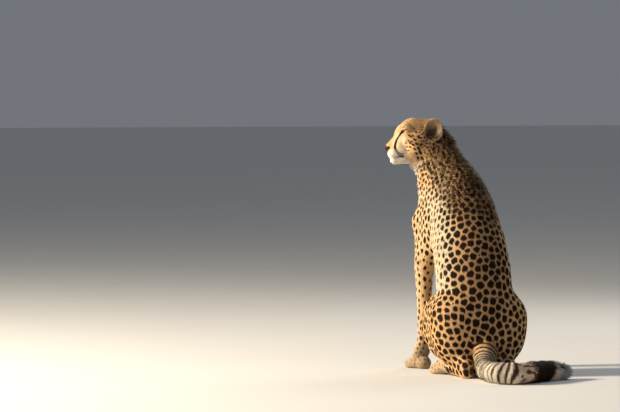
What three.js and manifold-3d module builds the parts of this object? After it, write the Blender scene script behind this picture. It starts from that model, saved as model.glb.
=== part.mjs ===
// A sitting cheetah, life size, in millimetres. +X is the way the trunk faces, +Y is its left and +Z is up.
// It sits upright on its haunches, forelegs straight, and looks over its left shoulder.
// The flesh is one smooth field of oval, tapered forms that run into each other. Each node is the surface of
// that field inside its own region, so that neighbours meet face to face across a thin cut.

import * as THREE from "three";
import Module from "manifold-3d";
import { mergeVertices } from "three/addons/utils/BufferGeometryUtils.js";

const wasm = await Module();
wasm.setup();

// ---------------------------------------------------------------- driving sizes
const GAP = 0.3; // clear gap between nodes that touch
const SHORTEST = 0.05; // shortest edge that a cut may leave
const HIP_SPREAD = 90; // left hip's middle from the midline
const LOADED_HIP_SPREAD = 94; // right hip's: it carries more of the weight, and spreads further
const KNEE_SPREAD = 108; // knee's middle from the midline
const HEEL_SPREAD = 80; // heel's middle from the midline
const HEAD_CENTRE = new THREE.Vector3(440, 96, 826); // between the ear roots and the eyes
const HEAD_YAW = THREE.MathUtils.degToRad(79); // turned to the left of the trunk
const HEAD_PITCH = THREE.MathUtils.degToRad(10); // nose down
const HEAD_ROLL = THREE.MathUtils.degToRad(4); // far ear down
const EYE_RADIUS = 17;

const v = (x, y, z) => new THREE.Vector3(x, y, z);
const LEFT = v(0, 1, 0);

// ---------------------------------------------------------------- oval forms and their field
/** An oval, tapered form from a to b: half width (along side) and half depth at each end, round ends. */
function oval(a, b, [wa, ha], [wb, hb], { side = LEFT, k = 20, cap = null, carve = false } = {}) {
  const axis = b.clone().sub(a);
  const length = axis.length();
  const dir = axis.divideScalar(length);
  const across = side.clone().addScaledVector(dir, -side.dot(dir)).normalize();
  const up = dir.clone().cross(across);
  const caps = cap ?? [(wa + ha) / 2, (wb + hb) / 2];
  const middle = a.clone().lerp(b, 0.5);
  const reach = length / 2 + Math.max(wa, ha, wb, hb, ...caps);
  return { a, dir, across, up, length, wa, ha, wb, hb, caps, k, carve, middle, reach };
}

/** An egg at centre: half length along dir, half width along side, half depth across both. */
function egg(centre, dir, [along, across, deep], options = {}) {
  const tip = centre.clone().addScaledVector(dir.clone().normalize(), 0.01);
  return oval(centre, tip, [across, deep], [across, deep], { ...options, cap: [along, along] });
}

/** Signed distance from point p to one form, negative inside. */
function distance(f, x, y, z) {
  const dx = x - f.a.x;
  const dy = y - f.a.y;
  const dz = z - f.a.z;
  const s = dx * f.dir.x + dy * f.dir.y + dz * f.dir.z;
  const held = Math.min(Math.max(s, 0), f.length);
  const t = held / f.length;
  const w = f.wa + (f.wb - f.wa) * t;
  const h = f.ha + (f.hb - f.ha) * t;
  const c = f.caps[0] + (f.caps[1] - f.caps[0]) * t;
  const qw = (dx * f.across.x + dy * f.across.y + dz * f.across.z) / w;
  const qh = (dx * f.up.x + dy * f.up.y + dz * f.up.z) / h;
  const qc = (s - held) / c;
  const k0 = Math.hypot(qw, qh, qc);
  const k1 = Math.hypot(qw / w, qh / h, qc / c);
  return k1 < 1e-9 ? -Math.min(w, h, c) : (k0 * (k0 - 1)) / k1;
}

/** Smooth union of two distances: the smaller one, rounded off where they come within k of each other. */
function join(a, b, k) {
  const h = Math.max(k - Math.abs(a - b), 0) / k;
  return Math.min(a, b) - (h * h * k) / 4;
}

/** The field of a list of forms: smooth union of the plain ones, less the carved ones. */
function fieldOf(forms) {
  const solids = forms.filter((f) => !f.carve);
  const carved = forms.filter((f) => f.carve);
  return (x, y, z) => {
    let d = 1e3;
    for (const f of solids) {
      const near = Math.hypot(x - f.middle.x, y - f.middle.y, z - f.middle.z) - f.reach;
      if (near > d + f.k) continue;
      d = join(d, distance(f, x, y, z), f.k);
    }
    for (const f of carved) {
      const near = Math.hypot(x - f.middle.x, y - f.middle.y, z - f.middle.z) - f.reach;
      if (near > f.k - d) continue;
      d = -join(-d, distance(f, x, y, z), f.k);
    }
    return d;
  };
}

// ---------------------------------------------------------------- trunk and neck
const SPINE = [
  // centre of the section, half width, half depth; from the rump up to the base of the skull
  [v(112, 0, 90), 104, 98],
  [v(116, 0, 190), 120, 110],
  [v(136, 0, 300), 125, 114],
  [v(154, 0, 380), 124, 120],
  [v(192, 0, 460), 117, 132],
  [v(252, 0, 530), 108, 142],
  [v(318, 0, 586), 95, 142],
  [v(370, 6, 640), 92, 126],
  [v(402, 16, 694), 86, 110],
  [v(416, 32, 746), 74, 82],
  [v(420, 34, 800), 64, 68],
];
const NECK_FROM = 7; // first section of the neck

function trunkForms() {
  const forms = [];
  for (let i = 0; i + 1 < SPINE.length; i++) {
    const [a, wa, ha] = SPINE[i];
    const [b, wb, hb] = SPINE[i + 1];
    forms.push(oval(a, b, [wa, ha], [wb, hb], { k: i < NECK_FROM ? 40 : 24 }));
  }
  forms.push(egg(v(330, 0, 492), v(0.5, 0, 0.86), [150, 94, 112], { k: 36 })); // rib cage
  forms.push(egg(v(400, 0, 566), v(0.5, 0, 1), [96, 62, 58], { k: 36 })); // breastbone
  forms.push(oval(v(434, 54, 590), v(430, 60, 716), [42, 48], [42, 44], { k: 30 })); // left side of the turned neck
  return forms;
}

// ---------------------------------------------------------------- legs
const SHOULDER = [436, 82, 528];
const ELBOW = [402, 93, 372];
const WRIST = [426, 89, 98];
const TOE_LENGTH = 34;
const TOE_WIDTH = 11;

/** Root and tip of each of the four toes of a paw that points along heading. */
function toes(knuckle, heading, spread) {
  const out = v(-heading.y, heading.x, 0);
  return [-1.5, -0.5, 0.5, 1.5].map((place) => {
    const lead = Math.abs(place) < 1 ? 8 : -4;
    const root = knuckle.clone().addScaledVector(out, place * spread * 0.8).addScaledVector(heading, lead - 4);
    const tip = knuckle.clone().addScaledVector(out, place * spread).addScaledVector(heading, lead + TOE_LENGTH);
    return { root: root.setZ(27), tip: tip.setZ(14), out, heading };
  });
}

const toeForm = ({ root, tip, out }) => oval(root, tip, [TOE_WIDTH, 20], [TOE_WIDTH, 18], { side: out, k: 8 });

const foreHeading = (s) => v(1, 0.26 * s, 0).normalize();
const foreKnuckle = (s, lead) => v(WRIST[0] + lead + 36, (WRIST[1] + 4) * s, 38);
const hindHeading = (s) => v(1, 0.1 * s, 0).normalize();
const hindKnuckle = (s) => v(196, 98 * s, 34);
const foreToes = (s, lead) => toes(foreKnuckle(s, lead), foreHeading(s), 17.5);
const hindToes = (s) => toes(hindKnuckle(s), hindHeading(s), 16.5);

/** A foreleg. s is 1 on the left and -1 on the right; lead moves the foot forward. */
function foreForms(s, lead) {
  const blade = v(322, s * 52, 640);
  const shoulder = v(SHOULDER[0], s * SHOULDER[1], SHOULDER[2]);
  const elbow = v(ELBOW[0], s * ELBOW[1], ELBOW[2]);
  const wrist = v(WRIST[0] + lead, s * WRIST[1], WRIST[2]);
  const knuckle = foreKnuckle(s, lead);
  return [
    oval(blade, shoulder, [36, 62], [38, 54], { k: 36 }),
    oval(shoulder, elbow, [38, 52], [34, 42], { k: 28 }),
    oval(v(342, s * 84, 540), v(386, s * 92, 396), [34, 56], [32, 40], { k: 30 }), // triceps
    oval(elbow, wrist, [33, 40], [20, 23], { k: 16 }),
    oval(v(elbow.x + 4, elbow.y, 344), v(wrist.x - 22, wrist.y, 214), [31, 36], [22, 27], { k: 14 }),
    oval(wrist, v(knuckle.x - 12, knuckle.y, 46), [22, 24], [28, 24], { k: 12 }),
    egg(v(knuckle.x + 6, knuckle.y, 18), foreHeading(s), [42, 34, 22], { k: 12 }),
    egg(v(wrist.x + 4, knuckle.y - 8 * s, 21), foreHeading(s), [30, 27, 26], { k: 12 }), // heel pad
    egg(dewclaw(s, lead), v(0, 0, 1), [14, 8, 9], { k: 8 }),
    ...foreToes(s, lead).map(toeForm),
  ];
}

/** Middle of the dewclaw's pad, on the inner side over the paw. */
const dewclaw = (s, lead) => v(WRIST[0] + lead + 8, (WRIST[1] - 22) * s, 62);

/** A folded hind leg, with the whole foot on the floor from heel to toes. */
function hindForms(s) {
  const hip = v(112, (s > 0 ? HIP_SPREAD : LOADED_HIP_SPREAD) * s, 196);
  const knee = v(240, KNEE_SPREAD * s, 206);
  const heel = v(14, HEEL_SPREAD * s, 40);
  const knuckle = hindKnuckle(s);
  return [
    oval(hip, knee, [91, 104], [46, 74], { k: 34 }),
    oval(v(92, 88 * s, 130), v(206, 104 * s, 160), [78, 88], [52, 76], { k: 34 }),
    oval(v(242, 108 * s, 164), v(120, 100 * s, 98), [44, 60], [38, 50], { k: 24 }),
    oval(v(234, 112 * s, 150), v(194, 106 * s, 96), [40, 46], [34, 38], { k: 24 }), // calf
    oval(v(120, 100 * s, 100), heel, [34, 46], [24, 30], { k: 22 }),
    oval(heel, v(4, (HEEL_SPREAD - 2) * s, 19), [23, 24], [21, 22], { k: 12 }),
    oval(v(10, HEEL_SPREAD * s, 21), knuckle, [22, 24], [28, 24], { k: 14 }),
    egg(v(knuckle.x + 10, knuckle.y, 18), hindHeading(s), [40, 32, 22], { k: 12 }),
    ...hindToes(s).map(toeForm),
  ];
}

// ---------------------------------------------------------------- head, in its own frame
const headTurn = new THREE.Matrix4()
  .makeTranslation(HEAD_CENTRE.x, HEAD_CENTRE.y, HEAD_CENTRE.z)
  .multiply(new THREE.Matrix4().makeRotationZ(HEAD_YAW))
  .multiply(new THREE.Matrix4().makeRotationY(HEAD_PITCH))
  .multiply(new THREE.Matrix4().makeRotationX(HEAD_ROLL));

/** A point of the head's own frame (forward, left, up) in the body's frame. */
const inHead = (f, l, u) => v(f, l, u).applyMatrix4(headTurn);
const headDir = (f, l, u) => v(f, l, u).transformDirection(headTurn);

const EYE = [46, 34, 40]; // left eyeball's centre in the head's frame
const EYE_LOOK = [0.82, 0.56, -0.06]; // the way the left eye looks

function headForms() {
  const side = headDir(0, 1, 0);
  const ahead = headDir(1, 0, 0);
  const forms = [
    oval(inHead(-34, 0, 18), inHead(22, 0, 30), [54, 54], [50, 52], { side, k: 20 }), // cranium
    oval(inHead(24, 0, 32), inHead(56, 0, 32), [42, 42], [34, 30], { side, k: 16 }), // forehead
    oval(inHead(64, 0, 24), inHead(114, 0, -3), [21, 22], [16, 14], { side, k: 14 }), // nose bridge
    egg(inHead(121, 0, -10), ahead, [12, 16, 11], { side, k: 7 }), // nose leather
    oval(inHead(40, 0, -16), inHead(96, 0, -24), [36, 28], [22, 20], { side, k: 16 }), // upper jaw
    oval(inHead(103, 0, -55), inHead(34, 0, -54), [20, 17], [38, 25], { side, k: 14 }), // lower jaw
    egg(inHead(0, 0, -46), ahead, [48, 50, 42], { side, k: 24 }), // back of the jaw
  ];
  for (const s of [1, -1]) {
    forms.push(
      egg(inHead(58, 27 * s, 52), ahead, [15, 14, 9], { side, k: 14 }), // brow
      egg(inHead(104, 15 * s, -31), ahead, [21, 17, 18], { side, k: 11 }), // whisker pad
      egg(inHead(16, 45 * s, -20), ahead, [40, 24, 42], { side, k: 22 }), // cheek
      oval(inHead(52, 40 * s, 10), inHead(-2, 54 * s, 6), [15, 16], [18, 20], { side, k: 18 }), // cheek bone
      egg(inHead(-14, 46 * s, -52), ahead, [30, 26, 34], { side, k: 22 }), // ruff behind the jaw
      oval(inHead(70, 26 * s, 24), inHead(94, 14 * s, -12), [9, 11], [9, 12], { side, k: 14 }), // side of the nose
      egg(inHead(EYE[0], EYE[1] * s, EYE[2]), ahead, [20, 20, 20], { side, k: 9 }), // lids over the eyeball
    );
  }
  return forms;
}

// ---------------------------------------------------------------- tail
/** The tail's path on the floor: out behind the rump, round a bend to the right, and along to the tip. */
const TAIL = [
  // centre and half thickness
  [v(40, 0, 116), 46],
  [v(-10, 14, 80), 41],
  [v(-60, 36, 51), 38.5],
  [v(-120, 54, 38), 38.5],
  [v(-188, 60, 37), 38.5],
  [v(-246, 50, 37), 38.5],
  [v(-272, 12, 37), 38.5],
  [v(-258, -30, 36), 37.5],
  [v(-220, -76, 34), 35.5],
  [v(-182, -122, 32), 33.5],
  [v(-154, -168, 30), 31],
  [v(-142, -214, 28), 27],
];

function tailForms() {
  const forms = [];
  for (let i = 0; i + 1 < TAIL.length; i++) {
    const [a, ra] = TAIL[i];
    const [b, rb] = TAIL[i + 1];
    forms.push(oval(a, b, [ra, ra], [rb, rb], { side: v(0, 0, 1), k: i === 0 ? 26 : 10 }));
  }
  return forms;
}

const bodyForms = [...trunkForms(), ...foreForms(1, 0), ...foreForms(-1, -6), ...hindForms(1), ...hindForms(-1), ...tailForms()];
const headOnly = headForms();
const body = fieldOf([...bodyForms, ...headOnly]);

// ---------------------------------------------------------------- from the field to a closed mesh
/** Closed surface of field(x, y, z) = 0 inside a box, one vertex to each cell that the surface crosses. */
function surface(field, lo, hi, cells) {
  const cell = [].concat(cells, cells, cells).slice(0, 3);
  const size = [hi.x - lo.x, hi.y - lo.y, hi.z - lo.z];
  const n = size.map((s, i) => Math.ceil(s / cell[i]));
  const step = size.map((s, i) => s / n[i]);
  const m = n.map((c) => c + 1);
  const at = (i, j, k) => (k * m[1] + j) * m[0] + i;
  const value = new Float32Array(m[0] * m[1] * m[2]);
  for (let k = 0; k < m[2]; k++)
    for (let j = 0; j < m[1]; j++)
      for (let i = 0; i < m[0]; i++) {
        const edge = i === 0 || j === 0 || k === 0 || i === n[0] || j === n[1] || k === n[2];
        const d = edge ? cell[0] : field(lo.x + i * step[0], lo.y + j * step[1], lo.z + k * step[2]);
        value[at(i, j, k)] = Math.abs(d) < 1e-3 ? 1e-3 : d;
      }
  const index = new Int32Array(value.length).fill(-1);
  const points = [];
  const corners = [0, 1, 2, 3, 4, 5, 6, 7].map((c) => [c & 1, (c >> 1) & 1, c >> 2]);
  const edges = [];
  corners.forEach((a, i) => corners.forEach((b, j) => {
    if (i < j && Math.abs(a[0] - b[0]) + Math.abs(a[1] - b[1]) + Math.abs(a[2] - b[2]) === 1) edges.push([a, b]);
  }));
  for (let k = 0; k < n[2]; k++)
    for (let j = 0; j < n[1]; j++)
      for (let i = 0; i < n[0]; i++) {
        const sum = [0, 0, 0];
        let count = 0;
        for (const [a, b] of edges) {
          const da = value[at(i + a[0], j + a[1], k + a[2])];
          const db = value[at(i + b[0], j + b[1], k + b[2])];
          if (da < 0 === db < 0) continue;
          const t = da / (da - db);
          for (let c = 0; c < 3; c++) sum[c] += a[c] + (b[c] - a[c]) * t;
          count++;
        }
        if (!count) continue;
        index[at(i, j, k)] = points.length / 3;
        const origin = [i, j, k];
        const p = [0, 1, 2].map((c) => [lo.x, lo.y, lo.z][c] + (origin[c] + sum[c] / count) * step[c]);
        const d = field(...p);
        const e = step[0] * 0.1;
        const g = [0, 1, 2].map((c) => {
          const q = [...p];
          q[c] += e;
          return (field(...q) - d) / e;
        });
        const gg = Math.max(g[0] * g[0] + g[1] * g[1] + g[2] * g[2], 0.2);
        for (let c = 0; c < 3; c++) {
          const low = [lo.x, lo.y, lo.z][c] + (origin[c] + 0.06) * step[c];
          p[c] = Math.min(Math.max(p[c] - (d * g[c]) / gg, low), low + 0.88 * step[c]);
        }
        points.push(...p);
      }
  const faces = [];
  const quad = (a, b, c, d, flip) => {
    const q = flip ? [a, d, c, b] : [a, b, c, d];
    const far = (i, j) => Math.hypot(...[0, 1, 2].map((x) => points[q[i] * 3 + x] - points[q[j] * 3 + x]));
    if (far(0, 2) <= far(1, 3)) faces.push(q[0], q[1], q[2], q[0], q[2], q[3]);
    else faces.push(q[0], q[1], q[3], q[1], q[2], q[3]);
  };
  for (let k = 0; k < n[2]; k++)
    for (let j = 0; j < n[1]; j++)
      for (let i = 0; i < n[0]; i++) {
        const here = value[at(i, j, k)] < 0;
        const crosses = (x, y, z) => here !== value[at(i + x, j + y, k + z)] < 0;
        const id = (x, y, z) => index[at(i + x, j + y, k + z)];
        if (j && k && crosses(1, 0, 0)) quad(id(0, -1, -1), id(0, 0, -1), id(0, 0, 0), id(0, -1, 0), !here);
        if (i && k && crosses(0, 1, 0)) quad(id(-1, 0, -1), id(-1, 0, 0), id(0, 0, 0), id(0, 0, -1), !here);
        if (i && j && crosses(0, 0, 1)) quad(id(-1, -1, 0), id(0, -1, 0), id(0, 0, 0), id(-1, 0, 0), !here);
      }
  return new wasm.Manifold(
    new wasm.Mesh({ numProp: 3, vertProperties: new Float32Array(points), triVerts: new Uint32Array(faces) }),
  );
}

/** A three.js geometry, placed by a matrix, as a solid. */
function solid(geometry, matrix = new THREE.Matrix4()) {
  const g = geometry.clone().applyMatrix4(matrix);
  g.deleteAttribute("normal");
  g.deleteAttribute("uv");
  const merged = mergeVertices(g, 1e-3);
  return new wasm.Manifold(
    new wasm.Mesh({
      numProp: 3,
      vertProperties: new Float32Array(merged.attributes.position.array),
      triVerts: new Uint32Array(merged.index.array),
    }),
  );
}

/** A box from corner to corner. */
function box(lo, hi) {
  const size = hi.clone().sub(lo);
  const centre = lo.clone().add(hi).multiplyScalar(0.5);
  return solid(new THREE.BoxGeometry(size.x, size.y, size.z), new THREE.Matrix4().setPosition(centre));
}

/** Everything ahead of the plane through point, on the side that normal points to, moved along it by shift. */
function beyond(point, normal, shift = 0, reach = 600) {
  const dir = normal.clone().normalize();
  const turn = new THREE.Quaternion().setFromUnitVectors(v(0, 0, 1), dir);
  const centre = point.clone().addScaledVector(dir, reach / 2 + shift);
  return solid(new THREE.BoxGeometry(reach, reach, reach), new THREE.Matrix4().compose(centre, turn, v(1, 1, 1)));
}

/** A pill-shaped region from a to b with half sizes across x and y of its own turned frame, grown by grow. */
function pill(a, b, across, deep, grow = 0) {
  const dir = b.clone().sub(a);
  const length = dir.length();
  const turn = new THREE.Quaternion().setFromUnitVectors(v(0, 1, 0), dir.divideScalar(length));
  const end = (across + deep) / 2 + grow;
  const scale = v(across + grow, end, deep + grow);
  const matrix = new THREE.Matrix4().compose(a.clone().lerp(b, 0.5), turn, scale);
  return solid(new THREE.CapsuleGeometry(1, length / end, 5, 20), matrix);
}

/** The largest closed body of a solid. */
function largest(s) {
  return s.decompose().sort((a, b) => b.volume() - a.volume())[0];
}

/** A solid with its shortest edges closed up, so that no sliver of a cut is left. */
function welded(s, shortest) {
  const m = s.getMesh();
  const at = (i) => v(...m.vertProperties.subarray(i * m.numProp, i * m.numProp + 3));
  const to = Array.from({ length: m.numVert }, (_, i) => i);
  const held = (i) => {
    while (to[i] !== i) i = to[i];
    return i;
  };
  const first = new Map();
  to.forEach((_, i) => {
    const key = at(i).toArray().map((c) => c.toFixed(3)).join();
    if (first.has(key)) to[i] = first.get(key);
    else first.set(key, i);
  });
  for (let i = 0; i < m.triVerts.length; i++) {
    const a = m.triVerts[i];
    const b = m.triVerts[i % 3 === 2 ? i - 2 : i + 1];
    if (at(a).distanceTo(at(b)) < shortest) to[held(a)] = held(b);
  }
  const faces = new Map();
  for (let i = 0; i < m.triVerts.length; i += 3) {
    const f = [...m.triVerts.subarray(i, i + 3)].map(held);
    if (new Set(f).size < 3) continue;
    const key = [...f].sort((a, b) => a - b).join();
    if (faces.has(key)) faces.delete(key); // two faces folded onto each other
    else faces.set(key, f);
  }
  const place = new Map();
  const points = [];
  const triVerts = Uint32Array.from([...faces.values()].flat(), (i) => {
    if (!place.has(i)) place.set(i, points.push(...at(i).toArray()) / 3 - 1);
    return place.get(i);
  });
  return parted(points, triVerts);
}

/** The solid of a mesh. Where two parts of it touch along one edge, each gets an edge of its own there. */
function parted(points, triVerts) {
  const at = (i) => v(...points.slice(i * 3, i * 3 + 3));
  const sides = new Map(); // for each edge, the faces on it, as their place in the list and their third corner
  for (let i = 0; i < triVerts.length; i++) {
    const [j, k] = [i % 3 === 2 ? i - 2 : i + 1, i % 3 === 0 ? i + 2 : i - 1];
    const key = [triVerts[i], triVerts[j]].sort((a, b) => a - b).join();
    if (!sides.has(key)) sides.set(key, []);
    sides.get(key).push({ face: Math.floor(i / 3), from: triVerts[i], to: triVerts[j], corner: triVerts[k] });
  }
  const split = new Map(); // face to the points put in on its edges
  for (const around of sides.values()) {
    if (around.length < 4) continue;
    const { from, to } = around[0];
    const axis = at(to).sub(at(from)).normalize();
    const zero = at(around[0].corner).sub(at(from)).projectOnPlane(axis).normalize();
    const turn = ({ corner }) => {
      const w = at(corner).sub(at(from)).projectOnPlane(axis);
      return Math.atan2(zero.clone().cross(w).dot(axis), zero.dot(w));
    };
    const full = 2 * Math.PI;
    const free = around.filter((f) => f.from === to);
    for (const one of around.filter((f) => f.from === from)) {
      const past = (f) => (turn(one) - turn(f) + 2 * full) % full;
      const other = free.sort((f, g) => past(f) - past(g)).shift();
      const inward = turn(one) - past(other) / 2;
      const into = zero.clone().applyAxisAngle(axis, inward);
      const middle = points.push(...at(from).lerp(at(to), 0.5).addScaledVector(into, SHORTEST / 2).toArray()) / 3 - 1;
      for (const f of [one, other]) split.set(f.face, [...(split.get(f.face) ?? []), { ...f, middle }]);
    }
  }
  const faces = [];
  for (let face = 0; face * 3 < triVerts.length; face++) {
    const corners = [...triVerts.subarray(face * 3, face * 3 + 3)];
    const cuts = split.get(face) ?? [];
    const loop = corners.flatMap((c, i) => {
      const cut = cuts.find((f) => f.from === c && f.to === corners[(i + 1) % 3]);
      return cut ? [c, cut.middle] : [c];
    });
    const start = loop.length > 3 ? loop.findIndex((c) => !corners.includes(c)) : 0;
    for (let i = 1; i + 1 < loop.length; i++)
      faces.push(loop[start], loop[(start + i) % loop.length], loop[(start + i + 1) % loop.length]);
  }
  return new wasm.Manifold(
    new wasm.Mesh({ numProp: 3, vertProperties: new Float32Array(points), triVerts: new Uint32Array(faces) }),
  );
}

/** A solid with every vertex moved outward by the given distance. */
function inflate(s, by) {
  const m = s.getMesh();
  const geometry = new THREE.BufferGeometry()
    .setAttribute("position", new THREE.BufferAttribute(Float32Array.from(m.vertProperties), 3))
    .setIndex(new THREE.BufferAttribute(Uint32Array.from(m.triVerts), 1));
  geometry.computeVertexNormals();
  const p = geometry.attributes.position;
  const n = geometry.attributes.normal;
  for (let i = 0; i < p.count; i++)
    p.setXYZ(i, p.getX(i) + n.getX(i) * by, p.getY(i) + n.getY(i) * by, p.getZ(i) + n.getZ(i) * by);
  geometry.deleteAttribute("normal");
  return new wasm.Manifold(
    new wasm.Mesh({ numProp: 3, vertProperties: p.array, triVerts: Uint32Array.from(m.triVerts) }),
  );
}

/** A closed skin over rings of points, all of one count, with a point at each end. */
function skin(start, rings, end) {
  const n = rings[0].length;
  const points = [start, ...rings.flat(), end];
  const last = points.length - 1;
  const faces = [];
  for (let i = 0; i < n; i++) {
    const j = (i + 1) % n;
    faces.push([0, 1 + j, 1 + i]);
    for (let r = 0; r + 1 < rings.length; r++) {
      const a = 1 + r * n;
      const b = a + n;
      faces.push([a + i, a + j, b + j], [a + i, b + j, b + i]);
    }
    faces.push([last - n + i, last - n + j, last]);
  }
  const vertProperties = new Float32Array(points.flatMap((q) => [q.x, q.y, q.z]));
  const made = (turned) =>
    new wasm.Manifold(
      new wasm.Mesh({
        numProp: 3,
        vertProperties,
        triVerts: new Uint32Array(faces.flatMap((f) => (turned ? [f[0], f[2], f[1]] : f))),
      }),
    );
  const shape = made(false);
  return shape.volume() > 0 ? shape : made(true);
}

/** The point where the body's surface is met, going out from an inner point along dir. */
function surfaceFrom(from, dir) {
  const at = (t) => from.clone().addScaledVector(dir, t);
  const inside = (t) => body(...at(t).toArray()) < 0;
  let low = 0;
  while (inside(low + 5)) low += 5;
  let high = low + 5;
  for (let i = 0; i < 14; i++) {
    const t = (low + high) / 2;
    if (inside(t)) low = t;
    else high = t;
  }
  return at(low);
}

/** The body's cross-section through centre, square to the z or other axis given by side and up. */
function section(centre, side, up, count) {
  return Array.from({ length: count }, (_, i) => {
    const angle = ((i + 0.5) * 2 * Math.PI) / count;
    const dir = side.clone().multiplyScalar(Math.sin(angle)).addScaledVector(up, -Math.cos(angle));
    const p = surfaceFrom(centre, dir);
    p.z = Math.max(p.z, 0);
    return p;
  });
}

/** A length of limb or tail: the body's skin over sections along a path, with flat ends. */
function limb(path, count) {
  const rings = path.map(({ centre, side, up }) => section(centre, side, up, count));
  return skin(path[0].centre, rings, path[path.length - 1].centre);
}

/** A flat, tapered, bent lock or claw: from root along dir, lying flat to up, and bending by the vector bend. */
function lock(root, dir, up, length, width, thick, bend = v(0, 0, 0)) {
  const side = dir.clone().cross(up).normalize();
  const face = side.clone().cross(dir).normalize();
  const at = (t) => root.clone().addScaledVector(dir, length * t).addScaledVector(bend, length * t * t);
  const rings = LOCK_SHAPE.map(([t, w, h]) =>
    [1, 0, -1, 0].map((a, c) =>
      at(t).addScaledVector(side, (a * w * width) / 2).addScaledVector(face, (([0, 1, 0, -1][c]) * h * thick) / 2),
    ),
  );
  return skin(at(0), rings, at(1));
}

/** Share of the length, of the width and of the thickness at each ring of a lock. */
const LOCK_SHAPE = [
  [0.02, 0.7, 1],
  [0.38, 1, 0.9],
  [0.74, 0.6, 0.6],
];

/** A repeatable draw of numbers from 0 to 1. */
function draws(seed) {
  let state = seed;
  return () => {
    state = (state * 1664525 + 1013904223) % 4294967296;
    return state / 4294967296;
  };
}

const unionOf = (...shapes) => wasm.Manifold.union(shapes);

// ---------------------------------------------------------------- regions that part the nodes
const HALF = GAP / 2;
const FAR = 900;
const floorCut = box(v(-FAR, -FAR, -FAR), v(FAR, FAR, 0));
const NECK_SEAM = [v(362, 4, 634), v(0.42, 0.06, 0.9)];
const SKULL_SEAM = [inHead(-35, 0, -25), headDir(0.79, 0, 0.61)];
const ELBOW_CUT = 352; // floor to the lower end of the upper foreleg
const PAW_CUT = 84;
const FOOT_CUT = 62;
const TAIL_ROOT = 0.2; // share of the tail's path that stays with the torso

const sideBox = (s, x0, x1, y0, y1, z0, z1) =>
  box(v(x0, Math.min(y0 * s, y1 * s), z0), v(x1, Math.max(y0 * s, y1 * s), z1));
const shoulderRegion = (s, grow) => pill(v(350, 118 * s, 616), v(410, 118 * s, 320), 116, 80, grow);
const thighRegion = (s, grow) => pill(v(96, 140 * s, 206), v(244, 140 * s, 204), 86, 116, grow);
const aboveCrease = (shift) => beyond(v(160, 0, 124), v(-0.21, 0, 0.98), shift);
const shankRegion = (s, g) => sideBox(s, -22 - g, 340, 62 - g, 260, FOOT_CUT - g, 300).subtract(aboveCrease(g));
const footRegion = (s, g) => sideBox(s, -22 - g, 340, 52 - g, 260, -40, FOOT_CUT + g);
const legRegion = (s) => sideBox(s, 325, 620, 20, 260, -40, ELBOW_CUT);

// ---------------------------------------------------------------- nodes
const model = new THREE.Group();
const coat = new THREE.MeshStandardMaterial({ color: 0xc89a5c, roughness: 0.9 });
const pale = new THREE.MeshStandardMaterial({ color: 0xe6d6bb, roughness: 0.9 });
const amber = new THREE.MeshStandardMaterial({ color: 0x9a5a1c, roughness: 0.15 });

function node(name, shape, material) {
  const m = largest(welded(largest(shape), SHORTEST)).getMesh();
  const positions = new Float32Array(m.numVert * 3);
  for (let i = 0; i < m.numVert; i++)
    positions.set(m.vertProperties.subarray(i * m.numProp, i * m.numProp + 3), i * 3);
  const geometry = new THREE.BufferGeometry()
    .setAttribute("position", new THREE.BufferAttribute(positions, 3))
    .setIndex(new THREE.BufferAttribute(new Uint32Array(m.triVerts), 1));
  geometry.computeVertexNormals();
  const mesh = new THREE.Mesh(geometry, material);
  mesh.name = name;
  model.add(mesh);
  return mesh;
}

const SIDES = [
  // sign of y, name, how far the forefoot is moved forward
  [1, "left", 0],
  [-1, "right", -6],
];

/** Corners of a box of space on one side of the body. */
const span = (s, x0, x1, y0, y1, z0, z1) => [
  v(x0, Math.min(y0 * s, y1 * s), z0),
  v(x1, Math.max(y0 * s, y1 * s), z1),
];

/** Root and way out of a lock on the surface, found from an inner point. */
function rooted(from, dir, sink) {
  const p = surfaceFrom(from, dir);
  return p.addScaledVector(dir, -sink);
}

const draw = draws(7);

/** Raised locks down the nape, from behind the ears towards the withers, between two heights. */
function napeLocks(from, to, count) {
  const locks = [];
  for (let i = 0; i < count; i++) {
    const z = from + ((to - from) * (i + draw())) / count;
    const t = (z - 640) / 200;
    const core = v(362 + 66 * t, 6 + 44 * t, z - 10);
    const angle = (draw() - 0.5) * 1.5;
    const out = v(-Math.cos(angle), -0.35 - Math.sin(angle), 0.35).normalize();
    const root = rooted(core, out, 7);
    const down = v(-0.5, -0.1, -0.85);
    const dir = down.addScaledVector(out, 0.24 + 0.2 * draw()).normalize();
    locks.push(lock(root, dir, out, 30 + 10 * draw(), 14, 5, v(0, 0, -0.12)));
  }
  return locks;
}

// ---------------------------------------------------------------- torso
const tailPath = new THREE.CatmullRomCurve3(TAIL.map(([p]) => p), false, "centripetal");
let torso = surface(body, v(-110, -240, -40), v(520, 240, 760), [33, 28, 38])
  .subtract(floorCut)
  .subtract(beyond(...NECK_SEAM, -HALF))
  .subtract(beyond(tailPath.getPointAt(TAIL_ROOT), tailPath.getTangentAt(TAIL_ROOT), -HALF, 130));
for (const [s] of SIDES)
  torso = torso
    .subtract(shoulderRegion(s, GAP).intersect(box(v(-FAR, -FAR, ELBOW_CUT - 1), v(FAR, FAR, FAR))))
    .subtract(legRegion(s))
    .subtract(thighRegion(s, GAP).intersect(aboveCrease(-HALF)))
    .subtract(shankRegion(s, GAP))
    .subtract(footRegion(s, GAP));
node("torso", torso, coat);

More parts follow.
